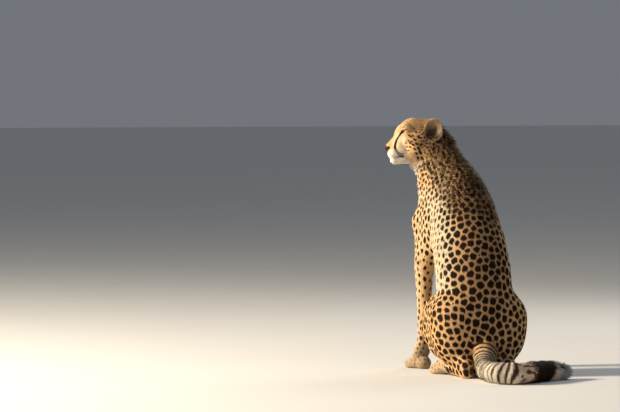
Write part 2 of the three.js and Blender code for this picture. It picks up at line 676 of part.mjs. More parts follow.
// ---------------------------------------------------------------- neck
const neckFlesh = surface(body, v(240, -130, 560), v(560, 180, 900), 23);
const neckShape = neckFlesh
  .intersect(beyond(...NECK_SEAM, HALF))
  .subtract(beyond(...SKULL_SEAM, -HALF))
  .subtract(shoulderRegion(1, GAP))
  .subtract(shoulderRegion(-1, GAP));
const headFlesh = surface(body, v(320, -60, 690), v(560, 260, 930), 10.6);
const skull = headFlesh.intersect(beyond(...SKULL_SEAM, HALF));
node("neck", unionOf(neckShape, unionOf(...napeLocks(722, 806, 16)).subtract(inflate(skull, GAP))), coat);

// ---------------------------------------------------------------- head, ears and eyes
const LID_OPENING = [
  // along the slit from the inner corner to the outer one, height over it
  [-14, -1],
  [-8, 3.4],
  [0, 5.4],
  [8, 4.4],
  [14, 0.6],
  [8, -3.2],
  [0, -4.4],
  [-8, -3.8],
];

/** The almond-shaped opening between the lids of one eye. */
function lidOpening(s) {
  const look = headDir(EYE_LOOK[0], EYE_LOOK[1] * s, EYE_LOOK[2]);
  const along = headDir(-0.54, 0.8 * s, 0.22);
  const over = look.clone().cross(along).normalize().multiplyScalar(s);
  const centre = inHead(EYE[0], EYE[1] * s, EYE[2]);
  const ring = (out) =>
    LID_OPENING.map(([a, b]) => centre.clone().addScaledVector(look, out).addScaledVector(along, a).addScaledVector(over, b));
  return skin(centre.clone().addScaledVector(look, 4), [ring(4), ring(40)], centre.clone().addScaledVector(look, 40));
}

function eyeball(s, radius) {
  const centre = inHead(EYE[0], EYE[1] * s, EYE[2]);
  return solid(new THREE.SphereGeometry(radius, 12, 9), new THREE.Matrix4().setPosition(centre));
}

const MOUTH = [
  // heading from the middle of the muzzle in degrees, height in the head's frame
  [-118, -36],
  [-95, -42],
  [-65, -47],
  [-32, -47],
  [0, -43],
  [32, -47],
  [65, -47],
  [95, -42],
  [118, -36],
];

/** The line of the mouth: a thin wedge along the lips, from corner to corner. */
function mouthLine() {
  const points = MOUTH.map(([angle, height]) => {
    const a = THREE.MathUtils.degToRad(angle);
    const dir = headDir(Math.cos(a), Math.sin(a), 0);
    return { dir, at: surfaceFrom(inHead(84, 0, height), dir) };
  });
  const up = headDir(0, 0, 1);
  const rings = points.map(({ dir, at }, i) => {
    const open = i === 0 || i === points.length - 1 ? 0.5 : 1;
    return [
      at.clone().addScaledVector(dir, 6),
      at.clone().addScaledVector(up, 2.4 * open),
      at.clone().addScaledVector(dir, -4.5 * open),
      at.clone().addScaledVector(up, -2.4 * open),
    ];
  });
  return skin(points[0].at, rings, points[points.length - 1].at);
}

function nostril(s) {
  const turn = new THREE.Quaternion().setFromRotationMatrix(headTurn);
  const matrix = new THREE.Matrix4().compose(inHead(127, 9 * s, -11), turn, v(7, 3.4, 4.2));
  return solid(new THREE.SphereGeometry(1, 8, 6), matrix);
}

/** One ear: a round cup that opens outward and forward, rooted in the side of the skull. */
function earCup(s) {
  const centre = inHead(-44, 64 * s, 24);
  const open = headDir(0.4, 0.88 * s, 0.22);
  const back = headDir(-0.91, 0.41 * s, 0.02);
  const up = headDir(-0.1, -0.24 * s, 0.97);
  const ring = (share, depth, inset) =>
    Array.from({ length: 14 }, (_, i) => {
      const a = (i * Math.PI) / 7;
      const r = share - inset / 40;
      return centre
        .clone()
        .addScaledVector(back, Math.cos(a) * 36 * r)
        .addScaledVector(up, Math.sin(a) * 42 * r)
        .addScaledVector(open, -depth * (1 - share * share));
    });
  const rings = [
    ring(0.4, 38, 0),
    ring(0.75, 38, 0),
    ring(0.97, 38, 0),
    ring(1, 25, 2),
    ring(1, 25, 6),
    ring(0.75, 25, 5),
    ring(0.4, 25, 2),
  ];
  const middle = (depth) => centre.clone().addScaledVector(open, -depth);
  return skin(middle(38), rings, middle(25));
}

/** White locks under the throat. */
function throatLocks(count) {
  const locks = [];
  for (let i = 0; i < count; i++) {
    const place = i / (count - 1) - 0.5;
    const out = headDir(0.45, place * 1.5, -0.85).normalize();
    const root = rooted(inHead(16 - 8 * draw(), 20 * place, -50), out, 6);
    const dir = out.clone().add(headDir(-0.25, 0, -0.75)).normalize();
    locks.push(lock(root, dir, headDir(1, 0, 0.4), 28 + 6 * draw(), 13, 5));
  }
  return locks;
}

const headShape = unionOf(skull, unionOf(...throatLocks(7)).subtract(inflate(neckShape, GAP)))
  .subtract(unionOf(...[1, -1].flatMap((s) => [eyeball(s, EYE_RADIUS + GAP), lidOpening(s), nostril(s)]), mouthLine()));
node("head", headShape, coat);
for (const [s, name] of SIDES) {
  node("eye_" + name, eyeball(s, EYE_RADIUS), amber);
  node("ear_" + name, earCup(s).subtract(inflate(headFlesh, 1.5 * GAP)).subtract(inflate(neckFlesh, 1.5 * GAP)), coat);
}

// ---------------------------------------------------------------- forelegs
const claw = ({ tip, heading, out }) =>
  lock(tip.clone().addScaledVector(heading, 6).setZ(21), heading.clone().setZ(-0.25).normalize(), out, 14, 5, 5, v(0, 0, -0.35));

for (const [s, name, lead] of SIDES) {
  const upper = surface(body, ...span(s, 200, 560, -10, 220, 320, 760), [26, 22, 27])
    .intersect(shoulderRegion(s, 0))
    .intersect(sideBox(s, 0, FAR, -60, 300, ELBOW_CUT + HALF, FAR));
  node("upper_foreleg_" + name, upper, coat);
  const levels = [0, 0.12, 0.26, 0.42, 0.58, 0.74, 0.88, 1].map((t) => ELBOW_CUT - HALF + (PAW_CUT + HALF - ELBOW_CUT + HALF) * t);
  const path = levels.map((z) => {
    const t = (z - PAW_CUT) / (ELBOW_CUT - PAW_CUT);
    const x = WRIST[0] + lead + (ELBOW[0] + 2 - WRIST[0] - lead) * t - 40 * t * (1 - t);
    return { centre: v(x, (WRIST[1] + 3 * t) * s, z), side: v(1, 0, 0), up: v(0, 1, 0) };
  });
  node("forearm_" + name, limb(path, 14), coat);
  const paw = surface(body, ...span(s, 340, 560, 20, 180, -30, 110), [12, 11, 13])
    .intersect(sideBox(s, 325, 600, 20, 220, 0, PAW_CUT - HALF));
  node("forepaw_" + name, unionOf(paw, ...foreToes(s, lead).map(claw)), pale);
}

// ---------------------------------------------------------------- hind legs
for (const [s, name] of SIDES) {
  const thigh = surface(body, ...span(s, -60, 340, 30, 250, 60, 360), [28, 24, 28])
    .intersect(thighRegion(s, 0))
    .intersect(aboveCrease(HALF));
  node("thigh_" + name, thigh, coat);
  node("lower_leg_" + name, surface(body, ...span(s, -50, 340, 40, 240, 40, 200), [22, 18, 20]).intersect(shankRegion(s, 0)), coat);
  const foot = surface(body, ...span(s, -50, 300, 30, 180, -30, 90), [21, 14.5, 15])
    .intersect(sideBox(s, -22, 340, 52, 260, 0, FOOT_CUT - HALF));
  node("hind_foot_" + name, unionOf(foot, ...hindToes(s).map(claw)), pale);
}

// ---------------------------------------------------------------- tail
const TAIL_LENGTHS = [
  // name, share of the path at its start and end, sections
  ["tail_base", TAIL_ROOT, 0.42, 6],
  ["tail_bend", 0.42, 0.66, 8],
  ["tail_banded", 0.66, 0.84, 5],
];

/** Sections of the tail from share a to share b of its path. */
function tailSections(a, b, count) {
  const total = tailPath.getLength();
  return Array.from({ length: count }, (_, i) => {
    const t = a + HALF / total + ((b - a - GAP / total) * i) / (count - 1);
    const tangent = tailPath.getTangentAt(t);
    const side = v(0, 0, 1).cross(tangent).normalize();
    return { centre: tailPath.getPointAt(t), side, up: tangent.clone().cross(side).normalize(), tangent };
  });
}

for (const [name, a, b, count] of TAIL_LENGTHS) node(name, limb(tailSections(a, b, count), 14), coat);

const tipSections = tailSections(0.84, 0.985, 5);
const tipEnd = tailPath.getPointAt(1);
const tipDir = tailPath.getTangentAt(1);
tipSections.push({ ...tipSections[4], centre: tipEnd.clone().addScaledVector(tipDir, 12) });
const tip = skin(
  tipSections[0].centre,
  tipSections.map(({ centre, side, up }) => section(centre, side, up, 14)),
  tipEnd.clone().addScaledVector(tipDir, 26),
);
const bush = [];
for (let i = 0; i < 26; i++) {
  const { centre, side, up, tangent } = tailSections(0.85, 0.995, 24)[Math.floor(draw() * 24)];
  const angle = draw() * 2 * Math.PI;
  const out = side.clone().multiplyScalar(Math.sin(angle)).addScaledVector(up, Math.cos(angle));
  const root = rooted(centre, out, 6);
  const dir = tangent.clone().addScaledVector(out, 0.2 + 0.16 * draw());
  if (root.z < 24) dir.z = Math.max(dir.z, 0.02);
  bush.push(lock(root, dir.normalize(), out, 32 + 8 * draw(), 15, 6));
}
node("tail_tip", unionOf(tip, ...bush).subtract(floorCut), pale);

// the origin is on the floor, under the middle of the whole
const bounds = new THREE.Box3().setFromObject(model);
const middle = bounds.getCenter(v(0, 0, 0));
model.position.set(-middle.x, -middle.y, -bounds.min.z);

export default model;
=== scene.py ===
import math

import bpy
import numpy as np
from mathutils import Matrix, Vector


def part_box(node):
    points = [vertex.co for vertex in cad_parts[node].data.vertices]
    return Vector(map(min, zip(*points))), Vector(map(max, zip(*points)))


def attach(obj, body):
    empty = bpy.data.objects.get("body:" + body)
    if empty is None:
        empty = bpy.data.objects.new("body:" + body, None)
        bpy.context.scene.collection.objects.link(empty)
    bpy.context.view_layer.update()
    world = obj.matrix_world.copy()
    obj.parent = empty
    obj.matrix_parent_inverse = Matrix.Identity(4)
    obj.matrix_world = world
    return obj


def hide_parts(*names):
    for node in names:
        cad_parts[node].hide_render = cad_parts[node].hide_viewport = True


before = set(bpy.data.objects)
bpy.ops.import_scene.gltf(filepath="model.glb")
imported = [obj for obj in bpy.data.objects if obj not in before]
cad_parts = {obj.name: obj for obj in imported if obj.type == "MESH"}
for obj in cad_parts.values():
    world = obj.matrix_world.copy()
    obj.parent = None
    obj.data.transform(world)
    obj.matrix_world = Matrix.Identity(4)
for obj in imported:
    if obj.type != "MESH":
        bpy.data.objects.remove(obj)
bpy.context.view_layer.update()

# ======================================================================================
# Trunk and neck: ribs and muscle under a loose hide, upright over the haunches. The flesh is
# one field of oval, tapered forms that run into each other. Lengths are millimetres in the
# animal's own frame: +X ahead, +Y to its left, +Z up. Each mesh turns them into metres.
# ======================================================================================
LEFT = np.array([0.0, 1.0, 0.0])
TRUNK, HEAD, FORE_LEFT, FORE_RIGHT, HIND_LEFT, HIND_RIGHT, TAIL_PART = range(7)


def vec(*xyz):
    """A point, a direction or a colour, as an array."""
    return np.array(xyz, float)


def unit(v):
    """Vectors at length 1."""
    v = np.asarray(v, float)
    return v / np.linalg.norm(v, axis=-1, keepdims=True)


def oval(a, b, size_a, size_b, part, side=LEFT, k=20.0, caps=None, lie=None):
    """An oval, tapered form from a to b, round at its ends. size is its half width along side
    and its half depth; k is how far it runs into its neighbours; lie is the way its hair points."""
    a, b = np.asarray(a, float), np.asarray(b, float)
    length = float(np.linalg.norm(b - a))
    along = (b - a) / length
    across = unit(side - along * (side @ along))
    (wa, ha), (wb, hb) = size_a, size_b
    caps = caps or ((wa + ha) / 2, (wb + hb) / 2)
    return dict(
        a=a, along=along, across=across, up=np.cross(along, across), length=length, wide=(wa, wb),
        deep=(ha, hb), caps=caps, k=k, part=part, lie=unit(along if lie is None else lie),
        middle=(a + b) / 2, reach=length / 2 + max(wa, ha, wb, hb, *caps),
    )


def egg(centre, along, size, part, side=LEFT, k=20.0, lie=None):
    """An egg: half length along a direction, half width along side, half depth across both."""
    length, wide, deep = size
    tip = np.asarray(centre, float) + unit(along) * 0.01
    return oval(centre, tip, (wide, deep), (wide, deep), part, side, k, (length, length), lie)


SPINE = [
    # centre of the section, half width, half depth; from the rump up to the base of the skull
    (vec(112, 0, 90), 104, 98),
    (vec(116, 0, 190), 120, 110),
    (vec(136, 0, 300), 125, 114),
    (vec(154, 0, 380), 124, 120),
    (vec(192, 0, 460), 117, 132),
    (vec(252, 0, 530), 108, 142),
    (vec(318, 0, 586), 95, 142),
    (vec(370, 6, 640), 92, 126),
    (vec(402, 16, 694), 86, 110),
    (vec(416, 32, 746), 74, 82),
    (vec(420, 34, 800), 64, 68),
]
NECK_FROM = 7  # the section at which the neck starts
DOWN_THE_BACK = vec(-0.35, 0, -0.94)


def trunk_forms():
    """A form between each two sections of the spine, and over them the rib cage, the breast and the
    muscle down the front of the neck."""
    forms = []
    for i, ((a, wa, ha), (b, wb, hb)) in enumerate(zip(SPINE, SPINE[1:])):
        k = 40 if i < NECK_FROM else 24
        forms.append(oval(a, b, (wa, ha), (wb, hb), TRUNK, k=k, lie=a - b))
    rib_cage = egg((330, 0, 492), (0.5, 0, 0.86), (150, 94, 112), TRUNK, k=36, lie=DOWN_THE_BACK)
    breast = egg((400, 0, 566), (0.5, 0, 1), (96, 62, 58), TRUNK, k=36, lie=(-0.1, 0, -1))
    throat = oval((434, 54, 590), (430, 60, 716), (42, 48), (42, 44), TRUNK, k=30, lie=(0, 0, -1))
    return [*forms, rib_cage, breast, throat]


# ======================================================================================
# Forelegs: slim bone and tendon, straight down to the floor: blade, upper arm, forearm and
# a paw of four toes, with the dewclaw's pad on the inner side. They grow out of the trunk.
# ======================================================================================
SHOULDER = vec(436, 82, 528)
ELBOW = vec(402, 93, 372)
WRIST = vec(426, 89, 98)
TOE_LENGTH = 34
TOE_WIDTH = 11
FORE_SIDES = ((1, FORE_LEFT, 0.0), (-1, FORE_RIGHT, -6.0))  # side, part, how far the foot leads
FORE_LEGS = (FORE_LEFT, FORE_RIGHT)
DOWN = vec(0, 0, -1)


def mirrored(p, s):
    """A point of the left side, or for s = -1 the same place on the right."""
    return np.asarray(p, float) * (1, s, 1)


def toes(knuckle, heading, spread):
    """Root and tip of each toe of a paw: fanned about the knuckle, the middle two in the lead."""
    out = vec(-heading[1], heading[0], 0)
    made = []
    for place in (-1.5, -0.5, 0.5, 1.5):
        lead = 8 if abs(place) < 1 else -4
        root = knuckle + out * place * spread * 0.8 + heading * (lead - 4)
        tip = knuckle + out * place * spread + heading * (lead + TOE_LENGTH)
        made.append((vec(root[0], root[1], 27), vec(tip[0], tip[1], 14), out, heading))
    return made


def toe_forms(paw, part):
    """An oval for each toe, from its root to its tip."""
    sizes = (TOE_WIDTH, 20), (TOE_WIDTH, 18)
    return [
        oval(root, tip, *sizes, part, side=out, k=7, lie=heading + DOWN * 0.4)
        for root, tip, out, heading in paw
    ]


def fore_paw(s, lead):
    """Knuckle, heading and toes of a forepaw."""
    knuckle = vec(WRIST[0] + lead + 36, (WRIST[1] + 4) * s, 38)
    heading = unit(vec(1, 0.26 * s, 0))
    return knuckle, heading, toes(knuckle, heading, 17.5)


def foreleg_forms(s, part, lead):
    """Blade, upper arm and the muscle behind it, forearm and its muscle, wrist, pads, and toes."""
    shoulder, elbow = mirrored(SHOULDER, s), mirrored(ELBOW, s)
    wrist = mirrored(WRIST, s) + vec(lead, 0, 0)
    knuckle, heading, paw = fore_paw(s, lead)
    dewclaw = vec(wrist[0] + 8, (WRIST[1] - 22) * s, 62)
    return [
        oval((322, s * 52, 640), shoulder, (36, 62), (38, 54), part, k=36, lie=(0.1, 0, -1)),
        oval(shoulder, elbow, (38, 52), (34, 42), part, k=28),
        oval((342, s * 84, 540), (386, s * 92, 396), (34, 56), (32, 40), part, k=30),
        oval(elbow, wrist, (33, 40), (20, 23), part, k=16, lie=DOWN),
        oval(
            (elbow[0] + 4, elbow[1], 344), (wrist[0] - 22, wrist[1], 214), (31, 36), (22, 27), part,
            k=14, lie=DOWN,
        ),
        oval(wrist, (knuckle[0] - 12, knuckle[1], 46), (22, 24), (28, 24), part, k=12),
        egg((knuckle[0] + 6, knuckle[1], 18), heading, (42, 34, 22), part, k=12, lie=heading),
        egg((wrist[0] + 4, knuckle[1] - 8 * s, 21), heading, (30, 27, 26), part, k=12, lie=heading),
        egg(dewclaw, (0, 0, 1), (14, 8, 9), part, k=8, lie=DOWN),
        *toe_forms(paw, part),
    ]


# ======================================================================================
# Hind legs: heavy thighs, folded over the shanks, and the whole foot flat on the floor from
# the heel to the toes. They bear the trunk, and the right haunch carries the more weight.
# ======================================================================================
HIP_SPREAD = 90
LOADED_HIP_SPREAD = 94  # of the right haunch
KNEE_SPREAD = 108
HEEL_SPREAD = 80
HIND_SIDES = ((1, HIND_LEFT), (-1, HIND_RIGHT))
HIND_LEGS = (HIND_LEFT, HIND_RIGHT)


def hind_paw(s):
    """Knuckle, heading and toes of a hind paw."""
    knuckle = vec(196, 98 * s, 34)
    heading = unit(vec(1, 0.1 * s, 0))
    return knuckle, heading, toes(knuckle, heading, 16.5)


def hind_leg_forms(s, part):
    """Thigh and the haunch below it, shank from the knee down, heel, foot, pad, and toes."""
    hip = vec(112, HIP_SPREAD if s > 0 else -LOADED_HIP_SPREAD, 196)
    knee, heel = vec(240, KNEE_SPREAD * s, 206), vec(14, HEEL_SPREAD * s, 40)
    knuckle, heading, paw = hind_paw(s)
    lie, shank_lie = vec(0.35, 0, -0.9), vec(-0.2, 0, -1)
    return [
        oval(hip, knee, (91, 104), (46, 74), part, k=34, lie=lie),
        oval((92, 88 * s, 130), (206, 104 * s, 160), (78, 88), (52, 76), part, k=34, lie=lie),
        oval(
            (242, 108 * s, 164), (120, 100 * s, 98), (44, 60), (38, 50), part,
            k=24, lie=shank_lie,
        ),
        oval(
            (234, 112 * s, 150), (194, 106 * s, 96), (40, 46), (34, 38), part,
            k=24, lie=shank_lie,
        ),
        oval((120, 100 * s, 100), heel, (34, 46), (24, 30), part, k=22, lie=(-0.3, 0, -1)),
        oval(
            heel, (4, (HEEL_SPREAD - 2) * s, 19), (23, 24), (21, 22), part,
            k=12, lie=(0.6, 0, -0.6),
        ),
        oval((10, HEEL_SPREAD * s, 21), knuckle, (22, 24), (28, 24), part, k=14, lie=heading),
        egg((knuckle[0] + 10, knuckle[1], 18), heading, (40, 32, 22), part, k=12, lie=heading),
        *toe_forms(paw, part),
    ]


# ======================================================================================
# Head: small and round, short in the muzzle, with thin cupped ears, turned left over the
# shoulder on the neck. Its own frame is forward, left and up from the middle of the skull.
# ======================================================================================
HEAD_CENTRE = vec(440, 96, 826)
HEAD_YAW, HEAD_PITCH, HEAD_ROLL = (math.radians(a) for a in (79, 10, 4))
EYE = vec(46, 34, 40)
EYE_LOOK = unit(vec(0.82, 0.56, -0.06))
EYE_ALONG = unit(vec(-0.54, 0.8, 0.22))
EYE_RADIUS = 17.0
EYE_PLAY = 0.3  # by which the socket is the larger and the ball the smaller


def turned(axis, angle):
    """The matrix that turns by angle about one axis of the frame."""
    c, s = math.cos(angle), math.sin(angle)
    i, j = [(1, 2), (2, 0), (0, 1)][axis]
    m = np.eye(3)
    m[i, i], m[i, j], m[j, i], m[j, j] = c, -s, s, c
    return m


HEAD_TURN = turned(2, HEAD_YAW) @ turned(1, HEAD_PITCH) @ turned(0, HEAD_ROLL)


def in_head(f, l, u):
    """A place forward, left and up in the head, in the animal's frame."""
    return HEAD_CENTRE + HEAD_TURN @ vec(f, l, u)


def head_dir(f, l, u):
    """A direction in the head, in the animal's frame."""
    return HEAD_TURN @ unit(vec(f, l, u))


def to_head(p):
    """Points of the animal's frame in the head's own frame."""
    return (p - HEAD_CENTRE) @ HEAD_TURN


# From the animal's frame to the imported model's, in millimetres, by the middle of the left eye.
SHIFT = np.array((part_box("eye_left")[0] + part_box("eye_left")[1]) / 2) * 1000 - in_head(*EYE)


def head_forms():
    """Skull, brow, bridge, nose, muzzle, jaw and nape on the midline, and on each side the brow
    ridge, whisker pad, cheek, cheekbone, jowl, side of the bridge, eyeball, ear root and the hollow
    under the eye."""
    side, ahead, back = head_dir(0, 1, 0), head_dir(1, 0, 0), head_dir(-1, 0, 0)

    def bar(a, b, size_a, size_b, k, lie=back):  # from place to place in the head's own frame
        return oval(in_head(*a), in_head(*b), size_a, size_b, HEAD, side=side, k=k, lie=lie)

    def ball(c, size, k, lie=back):  # half sizes forward, left and up
        return egg(in_head(*c), ahead, size, HEAD, side=side, k=k, lie=lie)

    forms = [
        bar((-34, 0, 18), (22, 0, 30), (54, 54), (50, 52), 20),
        bar((24, 0, 32), (56, 0, 32), (42, 42), (34, 30), 16),
        bar((64, 0, 24), (114, 0, -3), (21, 22), (16, 14), 14),
        ball((121, 0, -10), (13, 16, 11), 7),
        bar((40, 0, -16), (96, 0, -24), (36, 28), (22, 20), 16),
        bar((103, 0, -54), (34, 0, -54), (20, 18), (38, 25), 20),
        ball((0, 0, -46), (48, 50, 42), 24, head_dir(-0.7, 0, -0.7)),
    ]
    for s in (1, -1):
        forms += [
            ball((58, 27 * s, 52), (15, 14, 9), 14),
            ball((104, 15 * s, -31), (21, 17, 18), 11, head_dir(-0.9, 0.4 * s, -0.3)),
            ball((16, 45 * s, -20), (40, 24, 42), 22, head_dir(-0.8, 0.1 * s, -0.55)),
            bar(
                (52, 40 * s, 10), (-2, 54 * s, 6), (15, 16), (18, 20), 18,
                head_dir(-0.9, 0.1 * s, -0.35),
            ),
            ball((-14, 46 * s, -52), (30, 26, 34), 22, head_dir(-0.6, 0.1 * s, -0.8)),
            bar((70, 26 * s, 24), (94, 14 * s, -12), (9, 11), (9, 12), 14),
            ball((EYE[0], EYE[1] * s, EYE[2]), (21.5, 21.5, 21.5), 8),
            ball((-32, 54 * s, -12), (26, 17, 24), 14, head_dir(-0.6, 0.3 * s, 0.5)),
            ball((68, 27 * s, -10), (24, 12, 22), 16),
        ]
    return forms


EAR_CENTRE = vec(-44, 64, 24)
EAR_WIDE, EAR_HIGH, EAR_DEEP = 35.0, 41.0, 33.0  # half width and height of the rim, the cup's depth
EAR_THICK, EAR_THINNING = 2.6, 0.9  # half the shell's thickness, and how much less at the rim


def ear_frame(s):
    """Centre of an ear's rim and its own axes: back, up and the way that the cup opens."""
    opening = head_dir(0.4, 0.88 * s, 0.22)
    back = head_dir(-0.91, 0.41 * s, 0.02)
    back = unit(back - opening * (back @ opening))
    up = np.cross(opening, back) * s
    return in_head(EAR_CENTRE[0], EAR_CENTRE[1] * s, EAR_CENTRE[2]), back, up, opening


def in_ear(p, s):
    """How far points lie back, up and out from the middle of an ear's rim."""
    centre, back, up, opening = ear_frame(s)
    q = p - centre
    return q @ back, q @ up, q @ opening


def ear_distance(p, s):
    """Distance to an ear's shell: to the bowl o = -depth (1 - r^2), r from the rim's ellipse, less
    half its thickness, and no further out than the rim."""
    b, u, o = in_ear(p, s)
    r2 = (b / EAR_WIDE) ** 2 + (u / EAR_HIGH) ** 2
    rise_b, rise_u = 2 * EAR_DEEP * b / EAR_WIDE**2, 2 * EAR_DEEP * u / EAR_HIGH**2
    slope = np.sqrt(1 + rise_b**2 + rise_u**2)
    half_thick = EAR_THICK - EAR_THINNING * np.clip(r2, 0, 1)
    shell = np.abs(o + EAR_DEEP * (1 - r2)) / slope - half_thick
    rim = (np.sqrt(r2) - 0.97) * EAR_WIDE
    return np.maximum(shell, rim)


def near_ear(p):
    """Whether points lie on an ear or just beside one."""
    return np.minimum(ear_distance(p, 1), ear_distance(p, -1)) < 4.0


def ear_hollow(p, s):
    """Distance to the open bowl of an ear: in front of its shell, inside its rim, and 30 mm out."""
    b, u, o = in_ear(p, s)
    r2 = (b / EAR_WIDE) ** 2 + (u / EAR_HIGH) ** 2
    bowl = np.maximum(-(o + EAR_DEEP * (1 - r2)) * 0.6, (np.sqrt(r2) - 0.95) * EAR_WIDE)
    return np.maximum(bowl, np.maximum(o - 30, -22 - u))


# ======================================================================================
# Tail: a round, muscular rope in thick fur, out behind the rump from the end of the spine,
# round a bend to the right, and along the floor to its tip.
# ======================================================================================
TAIL = [
    # centre and half thickness
    (vec(40, 0, 116), 46.0),
    (vec(-10, 14, 80), 41.0),
    (vec(-60, 36, 51), 38.5),
    (vec(-120, 54, 38), 38.5),
    (vec(-188, 60, 37), 38.5),
    (vec(-246, 50, 37), 38.5),
    (vec(-272, 12, 37), 38.5),
    (vec(-258, -30, 36), 37.5),
    (vec(-220, -76, 34), 35.5),
    (vec(-182, -122, 32), 33.5),
    (vec(-154, -168, 30), 31.0),
    (vec(-142, -214, 28), 27.0),
]
PATH_STEPS = 8  # points of the middle line to each centre
TAIL_LEAVES = 34  # how far along the tail it leaves the rump


def tail_path():
    """Points along the tail's middle line: a smooth curve through its centres, by the means of
    neighbouring chords (Catmull and Rom's rule)."""
    p = np.array([c for c, _ in TAIL])
    p = np.concatenate([[2 * p[0] - p[1]], p, [2 * p[-1] - p[-2]]])
    t = (np.arange(PATH_STEPS) / PATH_STEPS)[:, None]
    made = []
    for a, b, c, d in zip(p, p[1:], p[2:], p[3:]):
        bow, turn = 2 * a - 5 * b + 4 * c - d, 3 * (b - c) + d - a
        made.append(b + 0.5 * t * (c - a + t * (bow + t * turn)))
    return np.concatenate([*made, [p[-2]]])


TAIL_PATH = tail_path()
TAIL_AT = np.concatenate([[0], np.cumsum(np.linalg.norm(np.diff(TAIL_PATH, axis=0), axis=1))])
TAIL_WAY = unit(np.gradient(TAIL_PATH, axis=0))


def tail_forms():
    """A round form between each two centres."""
    return [
        oval(a, b, (ra, ra), (rb, rb), TAIL_PART, side=vec(0, 0, 1), k=26 if i == 0 else 10)
        for i, ((a, ra), (b, rb)) in enumerate(zip(TAIL, TAIL[1:]))
    ]


ROWS_AT_ONCE = 20000


def along_tail(p):
    """How far along the tail points lie, from its root, and their offset from the tail's middle."""
    place, off = np.zeros(len(p)), np.zeros_like(p)
    near = np.flatnonzero((p[:, 0] < 100) & (p[:, 2] < 180))
    for rows in np.array_split(near, len(near) // ROWS_AT_ONCE + 1):
        q = p[rows]
        step = ((q[:, None] - TAIL_PATH[None]) ** 2).sum(2).argmin(1)
        d, way = q - TAIL_PATH[step], TAIL_WAY[step]
        ahead = (d * way).sum(1)
        place[rows], off[rows] = TAIL_AT[step] + ahead, d - way * ahead[:, None]
    return place, off


# ======================================================================================
# Skin: one closed hide, without seams, over trunk, legs, head, ears and tail. It lies inside
# the flesh's outline by the depth of the coat that grows on it. The lids, the line of the
# mouth and the nostrils are cut into it.
# ======================================================================================
FORMS = [
    *trunk_forms(),
    *(f for side in FORE_SIDES for f in foreleg_forms(*side)),
    *(f for side in HIND_SIDES for f in hind_leg_forms(*side)),
    *tail_forms(),
    *head_forms(),
]


def smooth(low, high, x):
    """0 below low, 1 above high, and an S-shaped rise between."""
    t = np.clip((x - low) / (high - low), 0, 1)
    return t * t * (3 - 2 * t)


def form_distance(f, p):
    """Distance from points to one form: the length of the point measured in half sizes, scaled back
    to millimetres by its own gradient."""
    d = p - f["a"]
    s = d @ f["along"]
    held = np.clip(s, 0, f["length"])
    t = held / f["length"]
    w = f["wide"][0] + (f["wide"][1] - f["wide"][0]) * t
    h = f["deep"][0] + (f["deep"][1] - f["deep"][0]) * t
    c = f["caps"][0] + (f["caps"][1] - f["caps"][0]) * t
    qw, qh, qc = d @ f["across"] / w, d @ f["up"] / h, (s - held) / c
    k0 = np.sqrt(qw**2 + qh**2 + qc**2)
    k1 = np.sqrt((qw / w) ** 2 + (qh / h) ** 2 + (qc / c) ** 2)
    at_middle = -np.minimum(np.minimum(w, h), c)
    return np.where(k1 < 1e-9, at_middle, k0 * (k0 - 1) / np.maximum(k1, 1e-9))


def joined(a, b, k):
    """Smooth union: the smaller distance, rounded off where the two come within k of each other."""
    h = np.maximum(k - np.abs(a - b), 0) / k
    return np.minimum(a, b) - h * h * k / 4


FAR = 90.0  # distances beyond this are left at it


def flesh(p):
    """Distance to the flesh: the smooth union of all its forms."""
    d = np.full(len(p), FAR)
    for f in FORMS:
        near = np.linalg.norm(p - f["middle"], axis=1) - f["reach"] < np.minimum(d, FAR) + f["k"]
        if near.any():
            d[near] = joined(d[near], form_distance(f, p[near]), f["k"])
    return d


DEEPEST, THINNEST = 4.8, 1.4  # depth of the short coat


def coat_depth(p):
    """How deep the coat is: deepest on the trunk, thinner on legs, thinnest on face and feet."""
    q = to_head(p)
    face = smooth(60, 150, np.linalg.norm(q - (84, 0, -4), axis=1))
    foot = np.where(p[:, 0] < -22, 1.0, smooth(20, 240, p[:, 2]))
    off_eyes = [np.linalg.norm(q - EYE * (1, s, 1), axis=1) for s in (1, -1)]
    lids = np.minimum(*(smooth(20, 34, off) for off in off_eyes))
    tip = smooth(-150, -235, p[:, 1]) * (p[:, 2] < 90)
    depth = THINNEST + (DEEPEST - THINNEST) * face
    return depth * (0.3 + 0.7 * foot) * (0.25 + 0.75 * lids) + 4 * tip


MOUTH_HEADING = np.array([-118, -95, -65, -32, 0, 32, 65, 95, 118])  # degrees round the muzzle
MOUTH_HEIGHT = np.array([-36, -42, -47, -47, -43, -47, -47, -42, -36])
MOUTH_MIDDLE, MOUTH_END = 84, 118  # where headings are taken from, and the heading of the corners
GROOVE_DEPTH = 2.2
LID_HALF, LID_SHIFT = 11.6, 2.4  # half the almond's length, and its middle's place along it
UPPER_LID, LOWER_LID = 4.0, 3.7  # height of each lid's arc


def lid_opening(q, s):
    """Distance to the almond between the lids of one eye, negative inside: two arcs that meet at
    the corners, carried outward along the look. With it, how far up and out of the eye."""
    look, along = EYE_LOOK * (1, s, 1), EYE_ALONG * (1, s, 1)
    over = unit(np.cross(look, along)) * s
    d = q - EYE * (1, s, 1)
    a, b, o = d @ along, d @ over, d @ look
    arc = 1 - ((a + LID_SHIFT) / LID_HALF) ** 2
    return np.maximum(np.maximum(b - UPPER_LID * arc, -LOWER_LID * arc - b), 4 - o), b, o


def mouth_line(q):
    """The heading of points round the muzzle, and the height of the mouth's line there."""
    heading = np.degrees(np.arctan2(q[:, 1], q[:, 0] - MOUTH_MIDDLE))
    return heading, np.interp(heading, MOUTH_HEADING, MOUTH_HEIGHT)


